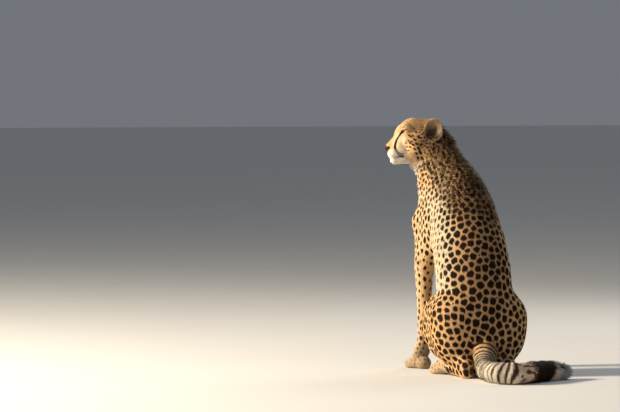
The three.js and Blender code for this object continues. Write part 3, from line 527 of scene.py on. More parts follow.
def cut_head(p, d):
    """Cuts the eye sockets and lid openings, the mouth's line, the groove under the nose and the
    nostrils into the distance d."""
    q = to_head(p)
    for s in (1, -1):
        ball = np.linalg.norm(q - EYE * (1, s, 1), axis=1) - EYE_RADIUS - EYE_PLAY
        almond, _, _ = lid_opening(q, s)
        d = np.maximum(d, -np.minimum(ball, almond))
        near_nostril = (q - (129, 8.4 * s, -11)) / (7, 3.2, 3.8)
        size = np.linalg.norm(near_nostril, axis=1)
        d = np.maximum(d, (1 - size) * 3.4)
    heading, height = mouth_line(q)
    ends = smooth(MOUTH_END, 104, np.abs(heading))
    line = np.minimum(1.1 * ends - np.abs(q[:, 2] - height) * 0.9, d + GROOVE_DEPTH)
    d = np.where(np.abs(heading) < MOUTH_END, np.maximum(d, line), d)
    groove = np.minimum(1.3 - np.abs(q[:, 1]), d + GROOVE_DEPTH)
    groove = np.minimum(groove, np.minimum(-18 - q[:, 2], q[:, 2] + 44))
    return np.where(q[:, 0] > 108, np.maximum(d, groove), d)


def hide(p):
    """Distance to the hide: flesh less the coat's depth, with the ears, cut at the face, and flat
    on the floor."""
    d = flesh(p) + coat_depth(p)
    near = np.linalg.norm(p - HEAD_CENTRE, axis=1) < 190
    if near.any():
        q = p[near]
        e = d[near]
        for s in (1, -1):
            e = joined(np.maximum(e, -ear_hollow(q, s)), ear_distance(q, s), 4)
        d[near] = cut_head(q, e)
    return np.maximum(d, 0.6 - p[:, 2])


# The hide is worked out on a grid that is fine at the face and opens out with the distance from it.
FINE = 2.0  # cell at the face
FINE_TO = 48.0  # cells from the head's middle over which it stays so
COARSE = 8.2  # cell along the way out, far from the head
OPENING = 26.0  # cells over which it opens
GRID_MIDDLE = in_head(34, 0, 0)
BLOCK = 4  # cells to the side of a block
LOWEST, HIGHEST = vec(-330, -262, -14), vec(545, 232, 925)  # of the room that the grid covers


def grid_reach(r):
    """Millimetres from the grid's middle at r cells out: even at first, then ever wider steps."""
    past = np.maximum(r - FINE_TO, 0)
    opened = (COARSE - FINE) * OPENING * (1 - np.exp(-past / OPENING))
    return FINE * np.minimum(r, FINE_TO) + COARSE * past - opened


CELLS_OUT = np.linspace(0, 320, 3201)
REACH_OUT = grid_reach(CELLS_OUT)


def grid_to_body(c):
    """Places of the grid, in cells from its middle, in the animal's frame."""
    r = np.linalg.norm(c, axis=-1, keepdims=True)
    return GRID_MIDDLE + c * np.where(r < 1e-6, FINE, grid_reach(r) / np.maximum(r, 1e-6))


def body_to_grid(p):
    """The other way, by a table of cells against millimetres out."""
    d = p - GRID_MIDDLE
    r = np.linalg.norm(d, axis=-1, keepdims=True)
    return d / np.maximum(r, 1e-6) * np.interp(r[..., 0], REACH_OUT, CELLS_OUT)[..., None]


def sampled_hide():
    """The hide's distance at every node of the grid, worked out in the blocks that it crosses."""
    shell = unit(np.random.default_rng(1).normal(size=(300, 3)))
    around = np.concatenate([f["middle"] + shell * f["reach"] for f in FORMS])
    cells = body_to_grid(np.clip(around[around[:, 2] > -20], LOWEST, HIGHEST))
    low = np.floor(cells.min(0)).astype(int) - BLOCK
    count = (np.ceil(cells.max(0)).astype(int) + BLOCK - low) // BLOCK + 1
    steps = [np.arange(n + 1) * BLOCK + o for n, o in zip(count, low)]
    corner = np.stack(np.meshgrid(*steps, indexing="ij"), -1)
    place = grid_to_body(corner.reshape(-1, 3).astype(float))
    rough = hide(place).reshape(corner.shape[:3])
    size = np.linalg.norm(np.diff(place.reshape(*corner.shape), axis=0)[:, :-1, :-1], axis=-1) * 1.9
    nearest = np.full(tuple(count), 1e9)
    for i, j, k in np.ndindex(2, 2, 2):
        part = rough[i : i + count[0], j : j + count[1], k : k + count[2]]
        nearest = np.minimum(nearest, np.abs(part))
    live = np.argwhere(nearest < size)
    value = np.repeat(np.repeat(np.repeat(rough, BLOCK, 0), BLOCK, 1), BLOCK, 2)
    step = np.stack(np.meshgrid(*[np.arange(BLOCK + 1)] * 3, indexing="ij"), -1).reshape(-1, 3)
    nodes = (live[:, None] * BLOCK + step[None]).reshape(-1, 3)
    flat = np.unique(np.ravel_multi_index(nodes.T, value.shape))
    ijk = np.stack(np.unravel_index(flat, value.shape), -1)
    value.reshape(-1)[flat] = hide(grid_to_body((ijk + low).astype(float)))
    value[np.abs(value) < 1e-4] = 1e-4
    return value, low


def net(value, low):
    """Closed surface through the zeros of a grid: one vertex to each cell that it crosses, at the
    mean of the crossings on the cell's edges, and one face to each edge that it crosses."""
    cells = tuple(n - 1 for n in value.shape)
    corners = []
    sums, counts = np.zeros((int(np.prod(cells)), 3)), np.zeros(int(np.prod(cells)))
    for axis in range(3):
        ahead = [slice(None)] * 3
        behind = [slice(None)] * 3
        ahead[axis], behind[axis] = slice(1, None), slice(None, -1)
        a, b = value[tuple(behind)], value[tuple(ahead)]
        ijk = np.argwhere((a < 0) != (b < 0))
        va, vb = a[tuple(ijk.T)], b[tuple(ijk.T)]
        start = (ijk + low).astype(float)
        start[:, axis] += va / (va - vb)
        at = grid_to_body(start)
        u, w = [(1, 2), (2, 0), (0, 1)][axis]
        ring = []
        for du, dw in ((-1, -1), (0, -1), (0, 0), (-1, 0)):
            cell = ijk.copy()
            cell[:, u] += du
            cell[:, w] += dw
            flat = np.ravel_multi_index(cell.T, cells)
            ring.append(flat)
            for c in range(3):
                sums[:, c] += np.bincount(flat, at[:, c], len(sums))
            counts += np.bincount(flat, minlength=len(counts))
        ring = np.stack(ring, 1)
        corners.append(np.where((va > 0)[:, None], ring[:, ::-1], ring))
    used = counts > 0
    index = np.cumsum(used) - 1
    return sums[used] / counts[used][:, None], index[np.concatenate(corners)]


SLOPE_STEP = 0.4


def slope_of(distance, p):
    """A distance and its gradient, from differences over a small step."""
    here = distance(p)
    rise = [(distance(p + np.eye(3)[c] * SLOPE_STEP) - here) / SLOPE_STEP for c in range(3)]
    return here, np.stack(rise, 1)


def settled(distance, p, most):
    """Points moved down the gradient onto the surface, by no more than most."""
    for _ in range(2):
        d, g = slope_of(distance, p)
        step = -d[:, None] * g / np.maximum((g * g).sum(1), 0.3)[:, None]
        size = np.linalg.norm(step, axis=1, keepdims=True)
        p = p + step * np.minimum(1, most[:, None] / np.maximum(size, 1e-9))
    return p


def vertex_normals(p, quads):
    """Normals of a mesh of quads: the mean of its faces' own, by area."""
    n = np.cross(p[quads[:, 2]] - p[quads[:, 0]], p[quads[:, 3]] - p[quads[:, 1]])
    total = np.zeros_like(p)
    for corner in range(4):
        for c in range(3):
            total[:, c] += np.bincount(quads[:, corner], n[:, c], len(p))
    return total / np.maximum(np.linalg.norm(total, axis=1, keepdims=True), 1e-9)


value, low = sampled_hide()
skin_points, skin_quads = net(value, low)
del value
reach = np.linalg.norm(skin_points - GRID_MIDDLE, axis=1)
cell = np.interp(reach, REACH_OUT[1:], np.diff(REACH_OUT) * 10)
skin_points = settled(hide, skin_points, 0.35 * cell)
skin_normals = vertex_normals(skin_points, skin_quads)


def lies_and_parts(p):
    """For each point, the way its hair lies, blended from the forms around it, and the part of the
    body that it belongs to."""
    lie = np.zeros_like(p)
    best, part = np.full(len(p), 1e9), np.zeros(len(p), int)
    for f in FORMS:
        near = np.linalg.norm(p - f["middle"], axis=1) - f["reach"] < 40
        if not near.any():
            continue
        d = form_distance(f, p[near])
        lie[near] += np.exp(-np.maximum(d + 4, 0) / 9)[:, None] * f["lie"]
        index = np.flatnonzero(near)
        closer = d < best[index]
        best[index[closer]], part[index[closer]] = d[closer], f["part"]
    return lie, part


skin_lie, skin_part = lies_and_parts(skin_points)
for s in (1, -1):
    centre, ear_back, up, opening = ear_frame(s)
    own = ear_distance(skin_points, s) < 1.5
    outward = skin_points - (centre - opening * EAR_DEEP)
    skin_lie[own] = outward[own] * 0.03 + up + ear_back * 0.3
    skin_part[own] = HEAD
skin_lie -= skin_normals * (skin_lie * skin_normals).sum(1)[:, None]
skin_lie = unit(skin_lie + 1e-6)


WAVES = 7


def waves(p, scale, seed):
    """Smooth noise from about -1 to 1: a sum of sine waves of like length in many directions."""
    draw = np.random.default_rng(seed)
    total = np.zeros(len(p))
    for _ in range(WAVES):
        k = unit(draw.normal(size=3)) * 2 * math.pi / scale * draw.uniform(0.6, 1.5)
        total += np.sin(p @ k + draw.uniform(0, 2 * math.pi))
    return total / WAVES * 1.6


# ======================================================================================
# Markings: solid round spots, larger on the back and rump, small and close on the neck, fine
# on the face, bands on the tail, and a tear line from each eye to the mouth. Each marking is
# a distance in millimetres, negative inside, that hide and coat both read.
# ======================================================================================
# Lines of the side view: forward and up in the head, and half width.
TEAR_LINE = np.array([
    (66, 38), (70, 33), (78, 26), (88, 14), (95, 1),
    (99, -10), (98, -22), (92, -34), (84, -42), (76, -47),
])
TEAR_HALF = np.array([2.6, 3.0, 3.2, 3.4, 3.8, 4.6, 4.6, 5.4, 6.4, 4.4])
EYE_CORNER, EYE_CORNER_HALF = np.array([(60.0, 42), (53, 43), (47, 44)]), (2.6, 3.0, 2.0)
LIP_CORNER, LIP_CORNER_HALF = np.array([(91, -37), (77, -47.0)]), (5.0, 6.0)
CHEEK_STREAKS = [  # from and to, and half width
    ((46, 23), (38, 13), 2.9), ((31, 5), (27, -1), 3.1), ((20, 30), (16, 26), 3.1),
    ((15, 11), (11, 5), 3.5), ((47, -5), (44, -8), 2.8), ((51, 4), (49, 1), 2.3),
    ((39, -13), (35, -17), 3.0), ((27, -11), (23, -16), 3.3), ((22, -28), (19, -35), 3.8),
    ((18, -44), (15, -51), 4.2), ((15, -64), (11, -72), 4.2), ((61, -3), (59, -5), 1.8),
    ((58, -17), (56, -19), 1.9), ((50, -20), (47, -22), 2.3), ((36, -29), (33, -33), 2.9),
    ((32, -46), (29, -50), 3.1), ((33, 19), (30, 15), 2.6), ((66, -24), (65, -25), 1.6),
    ((28, -62), (25, -67), 3.5), ((56, -30), (54, -32), 1.8), ((41, -1), (38, -4), 2.5),
    ((12, -18), (9, -24), 3.5), ((24, 44), (21, 41), 2.2), ((44, 38), (41, 36), 1.9),
]
STREAK_WIDER = 1.2
# Places along the tail, and half widths of the bands.
ROOT_BANDS = [(48, 4.6), (71, 5.2), (95, 5.6), (119, 5.6), (143, 5.2), (165, 4.4), (184, 3.6)]
TAIL_BANDS = [
    (200, 2.7), (222, 2.9), (244, 3.1), (266, 3.3), (289, 3.5),
    (310, 3.8), (328, 4.0), (345, 4.2), (362, 5.4),
]
MOTTLED_FROM, BLACK_FROM, GREY_FROM, STREAKED_TO = 374.0, 446.0, 566.0, 634.0
# How far the back leans, as an angle up from straight back, by height.
LEAN_AT = np.array([90, 300, 380, 460, 530, 586, 640, 694, 746, 800])
LEAN = np.radians([2, 8, 15, 28, 40, 44, 40, 26, 14, 8])


def line_distance(q, line, half):
    """Distance in the side view to a line of points with a half width at each."""
    best = np.full(len(q), 1e3)
    for a, b, ha, hb in zip(line, line[1:], half, half[1:]):
        step = b - a
        t = np.clip((q - a) @ step / (step @ step), 0, 1)
        off = np.linalg.norm(q - a - t[:, None] * step, axis=1)
        best = np.minimum(best, off - (ha + (hb - ha) * t))
    return best


def back_share(p, n, part):
    """How far each place faces the way of the back: 1 along the spine, 0 on the sides, -1 below. On
    the legs it is 1 on the outer side and -1 on the inner."""
    lean = np.interp(p[:, 2], LEAN_AT, LEAN)
    share = -n[:, 0] * np.cos(lean) + n[:, 2] * np.sin(lean)
    for own, s in ((FORE_LEFT, 1), (FORE_RIGHT, -1), (HIND_LEFT, 1), (HIND_RIGHT, -1)):
        leg = s * n[:, 1] - 0.55 * n[:, 0]
        share = np.where(part == own, leg, share)
    return share


back = back_share(skin_points, skin_normals, skin_part)
# By height: half width of the spots and distance between them, on the back and on the flank, and a
# spot's length over its width.
BACK_AT = np.array([60, 200, 330, 450, 560, 650, 740, 800, 900])
BACK_SPOT = np.array([13.4, 17.6, 17.0, 15.8, 14.4, 13.0, 11.6, 9.9, 7.4])
BACK_GAP = np.array([25, 31, 29.5, 27, 24, 21, 18.5, 16, 12.5])
FLANK_SPOT = np.array([7.4, 7.4, 7.0, 7.0, 7.3, 7.0, 6.0, 6.1, 5.3])
FLANK_GAP = np.array([27, 28, 30, 30, 27, 23.5, 20.5, 16.5, 13.5])
FLANK_STRETCH = np.array([1.2, 1.2, 1.2, 1.2, 1.2, 1.5, 1.9, 1.8, 1.4])
BACK_STRETCH = 1.05


def spot_sizes(p, part, back):
    """Half width of a spot, the distance between spots and a spot's length over its width at each
    point; half width 0 where there is no spot."""
    z = p[:, 2]
    side = smooth(0.0, 0.62, back - 0.1 * smooth(330, 420, z))
    flank_spot, flank_gap, flank_stretch, back_spot, back_gap = (
        np.interp(z, BACK_AT, sizes)
        for sizes in (FLANK_SPOT, FLANK_GAP, FLANK_STRETCH, BACK_SPOT, BACK_GAP)
    )
    radius = flank_spot * (1 - side) + back_spot * side
    gap = flank_gap * (1 - side) + back_gap * side
    stretch = flank_stretch * (1 - side) + BACK_STRETCH * side
    radius *= 0.55 + 0.45 * smooth(-0.55, -0.15, back)
    fore, hind, face = np.isin(part, FORE_LEGS), np.isin(part, HIND_LEGS), part == HEAD
    foot = smooth(112, 136, p[:, 0]) * smooth(70, 56, z)
    q = to_head(p)
    fore_radius = 5.8 + 3.0 * smooth(340, 480, z) - 2.6 * smooth(110, 60, z)
    fore_gap = 24 + 2.5 * smooth(120, 420, z) - 7 * smooth(110, 60, z)
    face_radius = 1.6 + 3.9 * smooth(40, -40, q[:, 0]) * smooth(60, 30, q[:, 2])
    face_gap = face_radius * 2.45 + 9 * smooth(-20, 30, q[:, 0])
    for own, own_radius, own_gap, own_stretch in (
        (fore, fore_radius, fore_gap, 1.4),
        (hind, 13.2 - 9.8 * foot, 26 - 8 * foot, 1.3),
        (face, face_radius, face_gap, 1.3),
    ):
        radius = np.where(own, own_radius, radius)
        gap = np.where(own, own_gap, gap)
        stretch = np.where(own, own_stretch, stretch)
    cheek = face & (q[:, 0] > 10) & (q[:, 2] < 30)
    eyes = face & (np.linalg.norm(np.abs(q) - np.abs(EYE), axis=1) < 33)
    ear = face & (np.minimum(ear_distance(p, 1), ear_distance(p, -1)) < 3)
    place, _ = along_tail(p)
    bare = cheek | eyes | ear | (face & (q[:, 0] > 60))
    bare |= ((part == TAIL_PART) & (place > TAIL_LEAVES)) | (z < 12)
    bare |= ~face & (back < np.where(hind, -0.45, np.where(fore, -0.72, -0.56)))
    return np.where(bare, 0, radius), gap, stretch


BIN, BINS_ACROSS = 24.0, 200  # side of a bin of points, and the bins along each axis


def placed_spots(p, radius, gap, seed):
    """Spots scattered over the hide, no two closer than the gap there: points drawn in random
    order, each kept only if it is clear of those kept before."""
    order = np.random.default_rng(seed).permutation(np.flatnonzero(radius > 0))
    free = np.ones(len(p), bool)
    key = np.floor((p + 1000) / BIN).astype(int)
    flat = (key[:, 0] * BINS_ACROSS + key[:, 1]) * BINS_ACROSS + key[:, 2]
    sort = np.argsort(flat, kind="stable")
    found, first = np.unique(flat[sort], return_index=True)
    last = np.append(first[1:], len(sort))
    bins = {f: sort[a:b] for f, a, b in zip(found.tolist(), first.tolist(), last.tolist())}
    kept = []
    for i in order.tolist():
        if not free[i]:
            continue
        kept.append(i)
        own = gap[i]
        n = int(own // BIN) + 1
        kx, ky, kz = key[i].tolist()
        around = [
            bins[f]
            for dx in range(-n, n + 1)
            for dy in range(-n, n + 1)
            for dz in range(-n, n + 1)
            if (f := ((kx + dx) * BINS_ACROSS + ky + dy) * BINS_ACROSS + kz + dz) in bins
        ]
        around = np.concatenate(around)
        off = p[around] - p[i]
        free[around[(off * off).sum(1) < own * own]] = False
    return np.array(kept)


SLICE_ROWS = 1200


def in_bands(p, centres, reach):
    """Indices of points and of the centres within reach of them in height, a slice at a time."""
    order = np.argsort(centres[:, 2])
    rows = np.argsort(p[:, 2])
    for chunk in np.array_split(rows, max(1, len(rows) // SLICE_ROWS)):
        a, b = np.searchsorted(centres[order, 2], (p[chunk[0], 2] - reach, p[chunk[-1], 2] + reach))
        if a < b:
            yield chunk, order[a:b]


def squares(q, c):
    """Squares of the distances from each point q to each centre c."""
    return (q * q).sum(1)[:, None] - 2 * q @ c.T + (c * c).sum(1)


EVENING_ROUNDS = 5
NEAREST_WITHIN = 60  # height over which a point's nearest centre is looked for


def spread_out(p, weight, centres):
    """Each centre moved to the middle of the points that are nearest to it, a few rounds over,
    which evens out the gaps between spots."""
    for _ in range(EVENING_ROUNDS):
        nearest = np.zeros(len(p), int)
        for rows, near in in_bands(p, centres, NEAREST_WITHIN):
            nearest[rows] = near[squares(p[rows], centres[near]).argmin(1)]
        total = np.bincount(nearest, weight, len(centres))
        sums = [np.bincount(nearest, weight * p[:, c], len(centres)) for c in range(3)]
        moved = np.stack(sums, 1)
        some = total > 0
        centres = np.where(some[:, None], moved / np.maximum(total, 1e-9)[:, None], centres)
    return centres


ROUNDING = 6.0  # of the corners, in widths of the line between spots
CLEAR = 12.0  # distances to a marking beyond this are left at it
SPOT_REACH = 36  # height over which spots are looked for


def spot_distance(p, spots, line=None):
    """Distance to the nearest of many oval spots: the point's offset measured along and across the
    spot's own axis in its half sizes. Where two spots would meet, a line of ground colour runs half
    way between them, twice line wide, and the corners that it makes are rounded."""
    centres, axes, long_half, half = spots
    best = np.full(len(p), CLEAR)
    for rows, near in in_bands(p, centres, SPOT_REACH):
        q, c, t = p[rows], centres[near], axes[near]
        along = q @ t.T - (c * t).sum(1)
        across = np.maximum(squares(q, c) - along**2, 0)
        d = (np.sqrt(along**2 / long_half[near] ** 2 + across / half[near] ** 2) - 1) * half[near]
        if line is None or len(near) < 2:
            best[rows] = np.minimum(best[rows], d.min(1))
        else:
            first, second = np.partition(d, 1, axis=1)[:, :2].T
            beside, reach = line[rows] - (second - first) / 2, ROUNDING * line[rows]
            rounded = np.maximum(reach - np.abs(first - beside), 0) ** 2 / (4 * reach)
            best[rows] = np.minimum(best[rows], np.maximum(first, beside) + rounded)
    return best


FLECK_HALF = (1.9, 3.4)
FLECK_CLEAR, FLECK_GAP = 4.4, 20.0  # of the spots, and of each other
FLECKED_OVER = 6.5  # half width of the spots among which there are flecks


def chosen_spots():
    """The spots and the flecks: centre, long axis, half length and half width. The spots are spread
    evenly, and the flecks lie in the room that is left between them."""
    radius, gap, stretch = spot_sizes(skin_points, skin_part, back)
    gap = gap * (1 + 0.1 * waves(skin_points, 60, 3))
    own = radius > 0
    kept = placed_spots(skin_points, radius, gap * 0.8, 5)  # closer than the gap, then spread out
    area = np.zeros(len(skin_points))
    faces = np.cross(
        skin_points[skin_quads[:, 2]] - skin_points[skin_quads[:, 0]],
        skin_points[skin_quads[:, 3]] - skin_points[skin_quads[:, 1]],
    )
    for corner in range(4):
        area += np.bincount(skin_quads[:, corner], np.linalg.norm(faces, axis=1) / 8, len(area))
    centres = spread_out(skin_points[own], (area / gap**2)[own], skin_points[kept])
    draw = np.random.default_rng(6)
    count = len(kept)
    half = radius[kept] * draw.uniform(0.76, 1.16, count)
    length = half * (1 + (stretch[kept] - 1) * draw.uniform(0.5, 1.3, count))
    high = smooth(560, 700, centres[:, 2])
    hind = np.isin(skin_part[kept], HIND_LEGS)
    ahead = np.where(hind, 1.3, -0.12 - 3.6 * high) + draw.normal(0, 0.22, count)
    axes = np.stack([ahead, draw.normal(0, 0.22, count), np.ones(count)], 1)
    normal = skin_normals[kept]
    axes = unit(axes - normal * (axes * normal).sum(1)[:, None] + 1e-6)
    large = (centres, axes, length, half)
    room = (spot_distance(skin_points, large) > FLECK_CLEAR) & (radius > FLECKED_OVER)
    more = placed_spots(skin_points, np.where(room, 1.0, 0), np.full(len(radius), FLECK_GAP), 7)
    small = draw.uniform(*FLECK_HALF, len(more))
    return large, (skin_points[more], skin_lie[more], small * 1.3, small)


SPOTS, FLECKS = chosen_spots()


def nose_distance(q):
    """Distance to the nose leather, an egg at the end of the muzzle that narrows downward."""
    wide = 21 - 10 * smooth(-8, -25, q[:, 2])
    r = np.sqrt(((q[:, 0] - 126) / 21) ** 2 + (q[:, 1] / wide) ** 2 + ((q[:, 2] + 12.5) / 14) ** 2)
    return (r - 1) * 9


def face_marks(q, d):
    """The tear lines, cheek streaks, eye rims, lips and nose, taken into the distance d."""
    side_view = q[:, [0, 2]]
    beside = (np.abs(q[:, 1]) > 8) & (q[:, 0] > 8)
    lines = line_distance(side_view, TEAR_LINE, TEAR_HALF)
    for a, b, half in CHEEK_STREAKS:
        wide = half * STREAK_WIDER
        lines = np.minimum(lines, line_distance(side_view, np.array([a, b], float), (wide, wide)))
    lines = np.minimum(lines, line_distance(side_view, LIP_CORNER, LIP_CORNER_HALF))
    d = np.where(beside, np.minimum(d, lines), d)
    for s in (1, -1):
        almond, _, out = lid_opening(q, s)
        rim = np.where((out > 4) & (np.abs(q[:, 1] - EYE[1] * s) < 26), almond - 2.6, CLEAR)
        corner = line_distance(side_view, EYE_CORNER, EYE_CORNER_HALF)
        d = np.minimum(d, np.where(q[:, 1] * s > 30, np.minimum(rim, corner), rim))
    heading, height = mouth_line(q)
    half = 3.2 * smooth(72, 100, np.abs(heading)) - 0.9
    lips = np.abs(q[:, 2] - height) - half
    d = np.where((np.abs(heading) < 116) & (q[:, 0] > 70), np.minimum(d, lips), d)
    return np.minimum(d, nose_distance(q))


def ear_marks(p, d):
    """Black on the back of each ear inside a tawny rim, and painted shade in the hollow at its
    root.
    """
    for s in (1, -1):
        b, u, o = in_ear(p, s)
        shell = ear_distance(p, s) < 2.0
        rear = o < -EAR_DEEP * (1 - (b / EAR_WIDE) ** 2 - (u / EAR_HIGH) ** 2)
        patch = np.sqrt((b / 27) ** 2 + ((u + 8) / 27) ** 2) * 18 - 18
        # Painted shade: a dark oval low and forward in the ear's hollow.
        hollow = np.sqrt(((b + 9) / 9) ** 2 + ((u + 9) / 17) ** 2) * 9 - 9
        d = np.where(shell & rear, np.minimum(d, patch), d)
        inside = (np.hypot(b / EAR_WIDE, u / EAR_HIGH) < 0.9) & ~rear & (o > -50) & (o < 25)
        d = np.where(inside, np.minimum(d, hollow), d)
    return d


def tail_marks(p, n, d):
    """Narrow bands over the tail's root, wider ones round its bend, mottled hair after them, a
    black stretch, and a grey end, painted shade over a white tip, with a few dark streaks on top."""
    place, _ = along_tail(p)
    at = place + 1.6 * waves(p, 60, 9)
    on = place > TAIL_LEAVES
    root, root_share = at + 0.25 * (p[:, 1] - 20), 0.55 + 0.45 * smooth(-0.8, 0, n[:, 2])
    ringed, ringed_share = at - 0.18 * (p[:, 2] - 37), 0.6 + 0.4 * smooth(-0.9, 0, n[:, 2])
    for bands, along, share in ((ROOT_BANDS, root, root_share), (TAIL_BANDS, ringed, ringed_share)):
        for middle, half in bands:
            d = np.where(on, np.minimum(d, np.abs(along - middle) - half * share), d)
    slanted = at - 0.45 * (p[:, 2] - 34)
    patches = 2.0 - 6 * waves(p * (1, 0.6, 1), 15, 10) - 5 * smooth(400, 450, at)
    d = np.where(at > MOTTLED_FROM, np.minimum(d, np.maximum(patches, slanted - BLACK_FROM)), d)
    end = at - 0.9 * (p[:, 2] - 28) - GREY_FROM
    d = np.where(on, np.minimum(d, np.maximum(BLACK_FROM - slanted, end)), d)
    streaks = np.maximum(0.4 - 7 * waves(p * (1, 0.35, 1), 15, 14), (at - STREAKED_TO) * 0.3)
    return np.where((end > 0) & (n[:, 2] > 0.2), np.minimum(d, streaks), d)


LINE_SHARE, LINE_LIMITS = 0.12, (0.6, 1.5)  # half the line between spots, for their half width


def markings(p, n, part, radius):
    """The distance to the nearest dark marking at points of the hide."""
    line = np.clip(radius * LINE_SHARE, *LINE_LIMITS) * (1 - 0.35 * smooth(480, 640, p[:, 2]))
    d = np.minimum(spot_distance(p, SPOTS, line), spot_distance(p, FLECKS))
    d += 1.5 * waves(p, 15, 8) * smooth(3, 9, radius)
    head = part == HEAD
    if head.any():
        d[head] = ear_marks(p[head], face_marks(to_head(p[head]), d[head]))
    tail = part == TAIL_PART
    if tail.any():
        d[tail] = tail_marks(p[tail], n[tail], d[tail])
    return np.clip(d, -CLEAR, CLEAR)


spot_radius, _, _ = spot_sizes(skin_points, skin_part, back)
mark = markings(skin_points, skin_normals, skin_part, spot_radius)

# Ground colours of the coat, as shares of light given back: red, green, blue.
GOLD = vec(0.70, 0.42, 0.19)
TAWNY = vec(0.46, 0.27, 0.14)
CREAM = vec(0.72, 0.59, 0.40)
WHITE = vec(0.80, 0.74, 0.64)
SOOT = vec(0.016, 0.0075, 0.004)
UMBER = vec(0.22, 0.085, 0.035)
BROWN = vec(0.13, 0.055, 0.022)
PAW_BROWN = vec(0.44, 0.32, 0.20)
# painted shade for the rear of the lower forelegs
LEG_PAINTED_SHADE = vec(0.24, 0.16, 0.10)
# painted half shade along the jaw, a brownish tan
JAW_PAINTED_SHADE = vec(0.44, 0.30, 0.20)
# inside the ears: brown, partly their own and partly painted shade; painted shade toward the back
# of the cup; painted shadow in the hollow
EAR_BROWN = vec(0.40, 0.26, 0.15)
EAR_PAINTED_SHADE = vec(0.19, 0.125, 0.08)
EAR_HOLLOW_PAINTED_SHADE = vec(0.035, 0.022, 0.015)
TAIL_PALE = vec(0.84, 0.73, 0.57)
TAIL_TAN = vec(0.72, 0.55, 0.40)
# painted shade, grey over the white end of the tail
TAIL_END_PAINTED_SHADE = vec(0.33, 0.335, 0.35)


def mixed(a, b, share):
    """From colour a to colour b, by a share at each point."""
    return a + (b - a) * np.asarray(share)[:, None]


def face_ground(q):
    """Gold on the crown, lighter than the body's as painted light, cream round the eyes and beside
    the nose, a pale brow that is partly its own fur and partly a painted highlight, white on lips
    and chin, tawny down the bridge, on the cheeks and behind the skull, and a brown painted shade
    along the jaw."""
    f, u = q[:, 0], q[:, 2]
    near_eye = np.linalg.norm((np.abs(q) - (70, 26, 26)) / (22, 16, 16), axis=1)
    chin = smooth(-40, -52, u) * smooth(58, 80, f)
    under = smooth(-58, -74, u) * smooth(-8, 12, f - 6)
    pale = np.maximum(smooth(86, 104, f) * smooth(-12, -28, u), np.maximum(chin, under))
    muzzle = 0.8 * smooth(50, 66, f) * smooth(34, 12, u) * smooth(112, 98, f)
    cream = np.maximum(0.7 * smooth(1.3, 0.7, near_eye), muzzle)
    # A pale brow over each eye: partly its own fur, partly a painted highlight.
    brow = 0.4 * smooth(16, 8, np.linalg.norm(np.abs(q) - (66, 26, 56), axis=1))
    # The face's gold is lighter than the body's: painted light on the crown.
    face = mixed(mixed(GOLD * 1.14, CREAM, np.maximum(cream, brow)), WHITE, pale)
    face = mixed(face, TAWNY, 0.5 * smooth(-30, -70, f) * smooth(-40, 20, u))
    bridge = 0.6 * smooth(12, 5, np.abs(q[:, 1])) * smooth(70, 110, f) * smooth(-14, 0, u)
    face = mixed(face, TAWNY, bridge)
    # Painted half shade: a brownish tan along the jaw behind the mouth.
    jaw = np.linalg.norm((q - (50, 0, -50)) / (30, 90, 16), axis=1)
    face = mixed(face, JAW_PAINTED_SHADE, 0.75 * smooth(1.25, 0.6, jaw))
    cheek = 0.7 * smooth(46, 16, f) * smooth(-70, -40, u) * smooth(34, 10, u)
    return mixed(face, TAWNY * 0.8, cheek)


def colour_ear(colour, p, s):
    """Gold on the back of one ear with a tawny rim, and inside it brown with painted shade, darker
    toward the back of the cup, and a painted shadow deep in the hollow at its root.
    """
    b, u, o = in_ear(p, s)
    rim = np.hypot(b / EAR_WIDE, u / EAR_HIGH)
    near = (ear_distance(p, s) < 2.0) & (skin_part == HEAD)
    inside = (o > -EAR_DEEP * (1 - rim**2)) * smooth(1.0, 0.8, rim)
    deep = smooth(32, 12, np.hypot(b + 11, (u + 13) * 0.85)) * inside
    rear_rim = np.maximum(smooth(2, 20, b), smooth(8, -14, u))
    # Painted shade inside the cup, darker toward its back, and painted shadow deep in the hollow.
    cup_painted_shade = mixed(EAR_BROWN + 0 * p, EAR_PAINTED_SHADE, smooth(-6, 16, b))
    colour[near] = mixed(GOLD, TAWNY * 0.35, 0.9 * rear_rim[near])
    colour[near] += (cup_painted_shade[near] - colour[near]) * 0.9 * inside[near, None]
    colour[near] = mixed(colour[near], EAR_HOLLOW_PAINTED_SHADE, 0.95 * deep[near])


def tail_ground(p):
    """Gold at the root, then cream, pale round the bend, tan where mottled, and a grey end that is
    painted shade over the white tip.
    """
    place, _ = along_tail(p)
    tail = mixed(GOLD, CREAM, smooth(40, 120, place))
    tail = mixed(tail, TAIL_PALE, smooth(150, 230, place))
    tail = mixed(tail, TAIL_TAN, smooth(364, 384, place) * smooth(580, 560, place))
    # Painted shade: the white end of the tail greyed.
    return mixed(tail, TAIL_END_PAINTED_SHADE, smooth(560, 600, place))


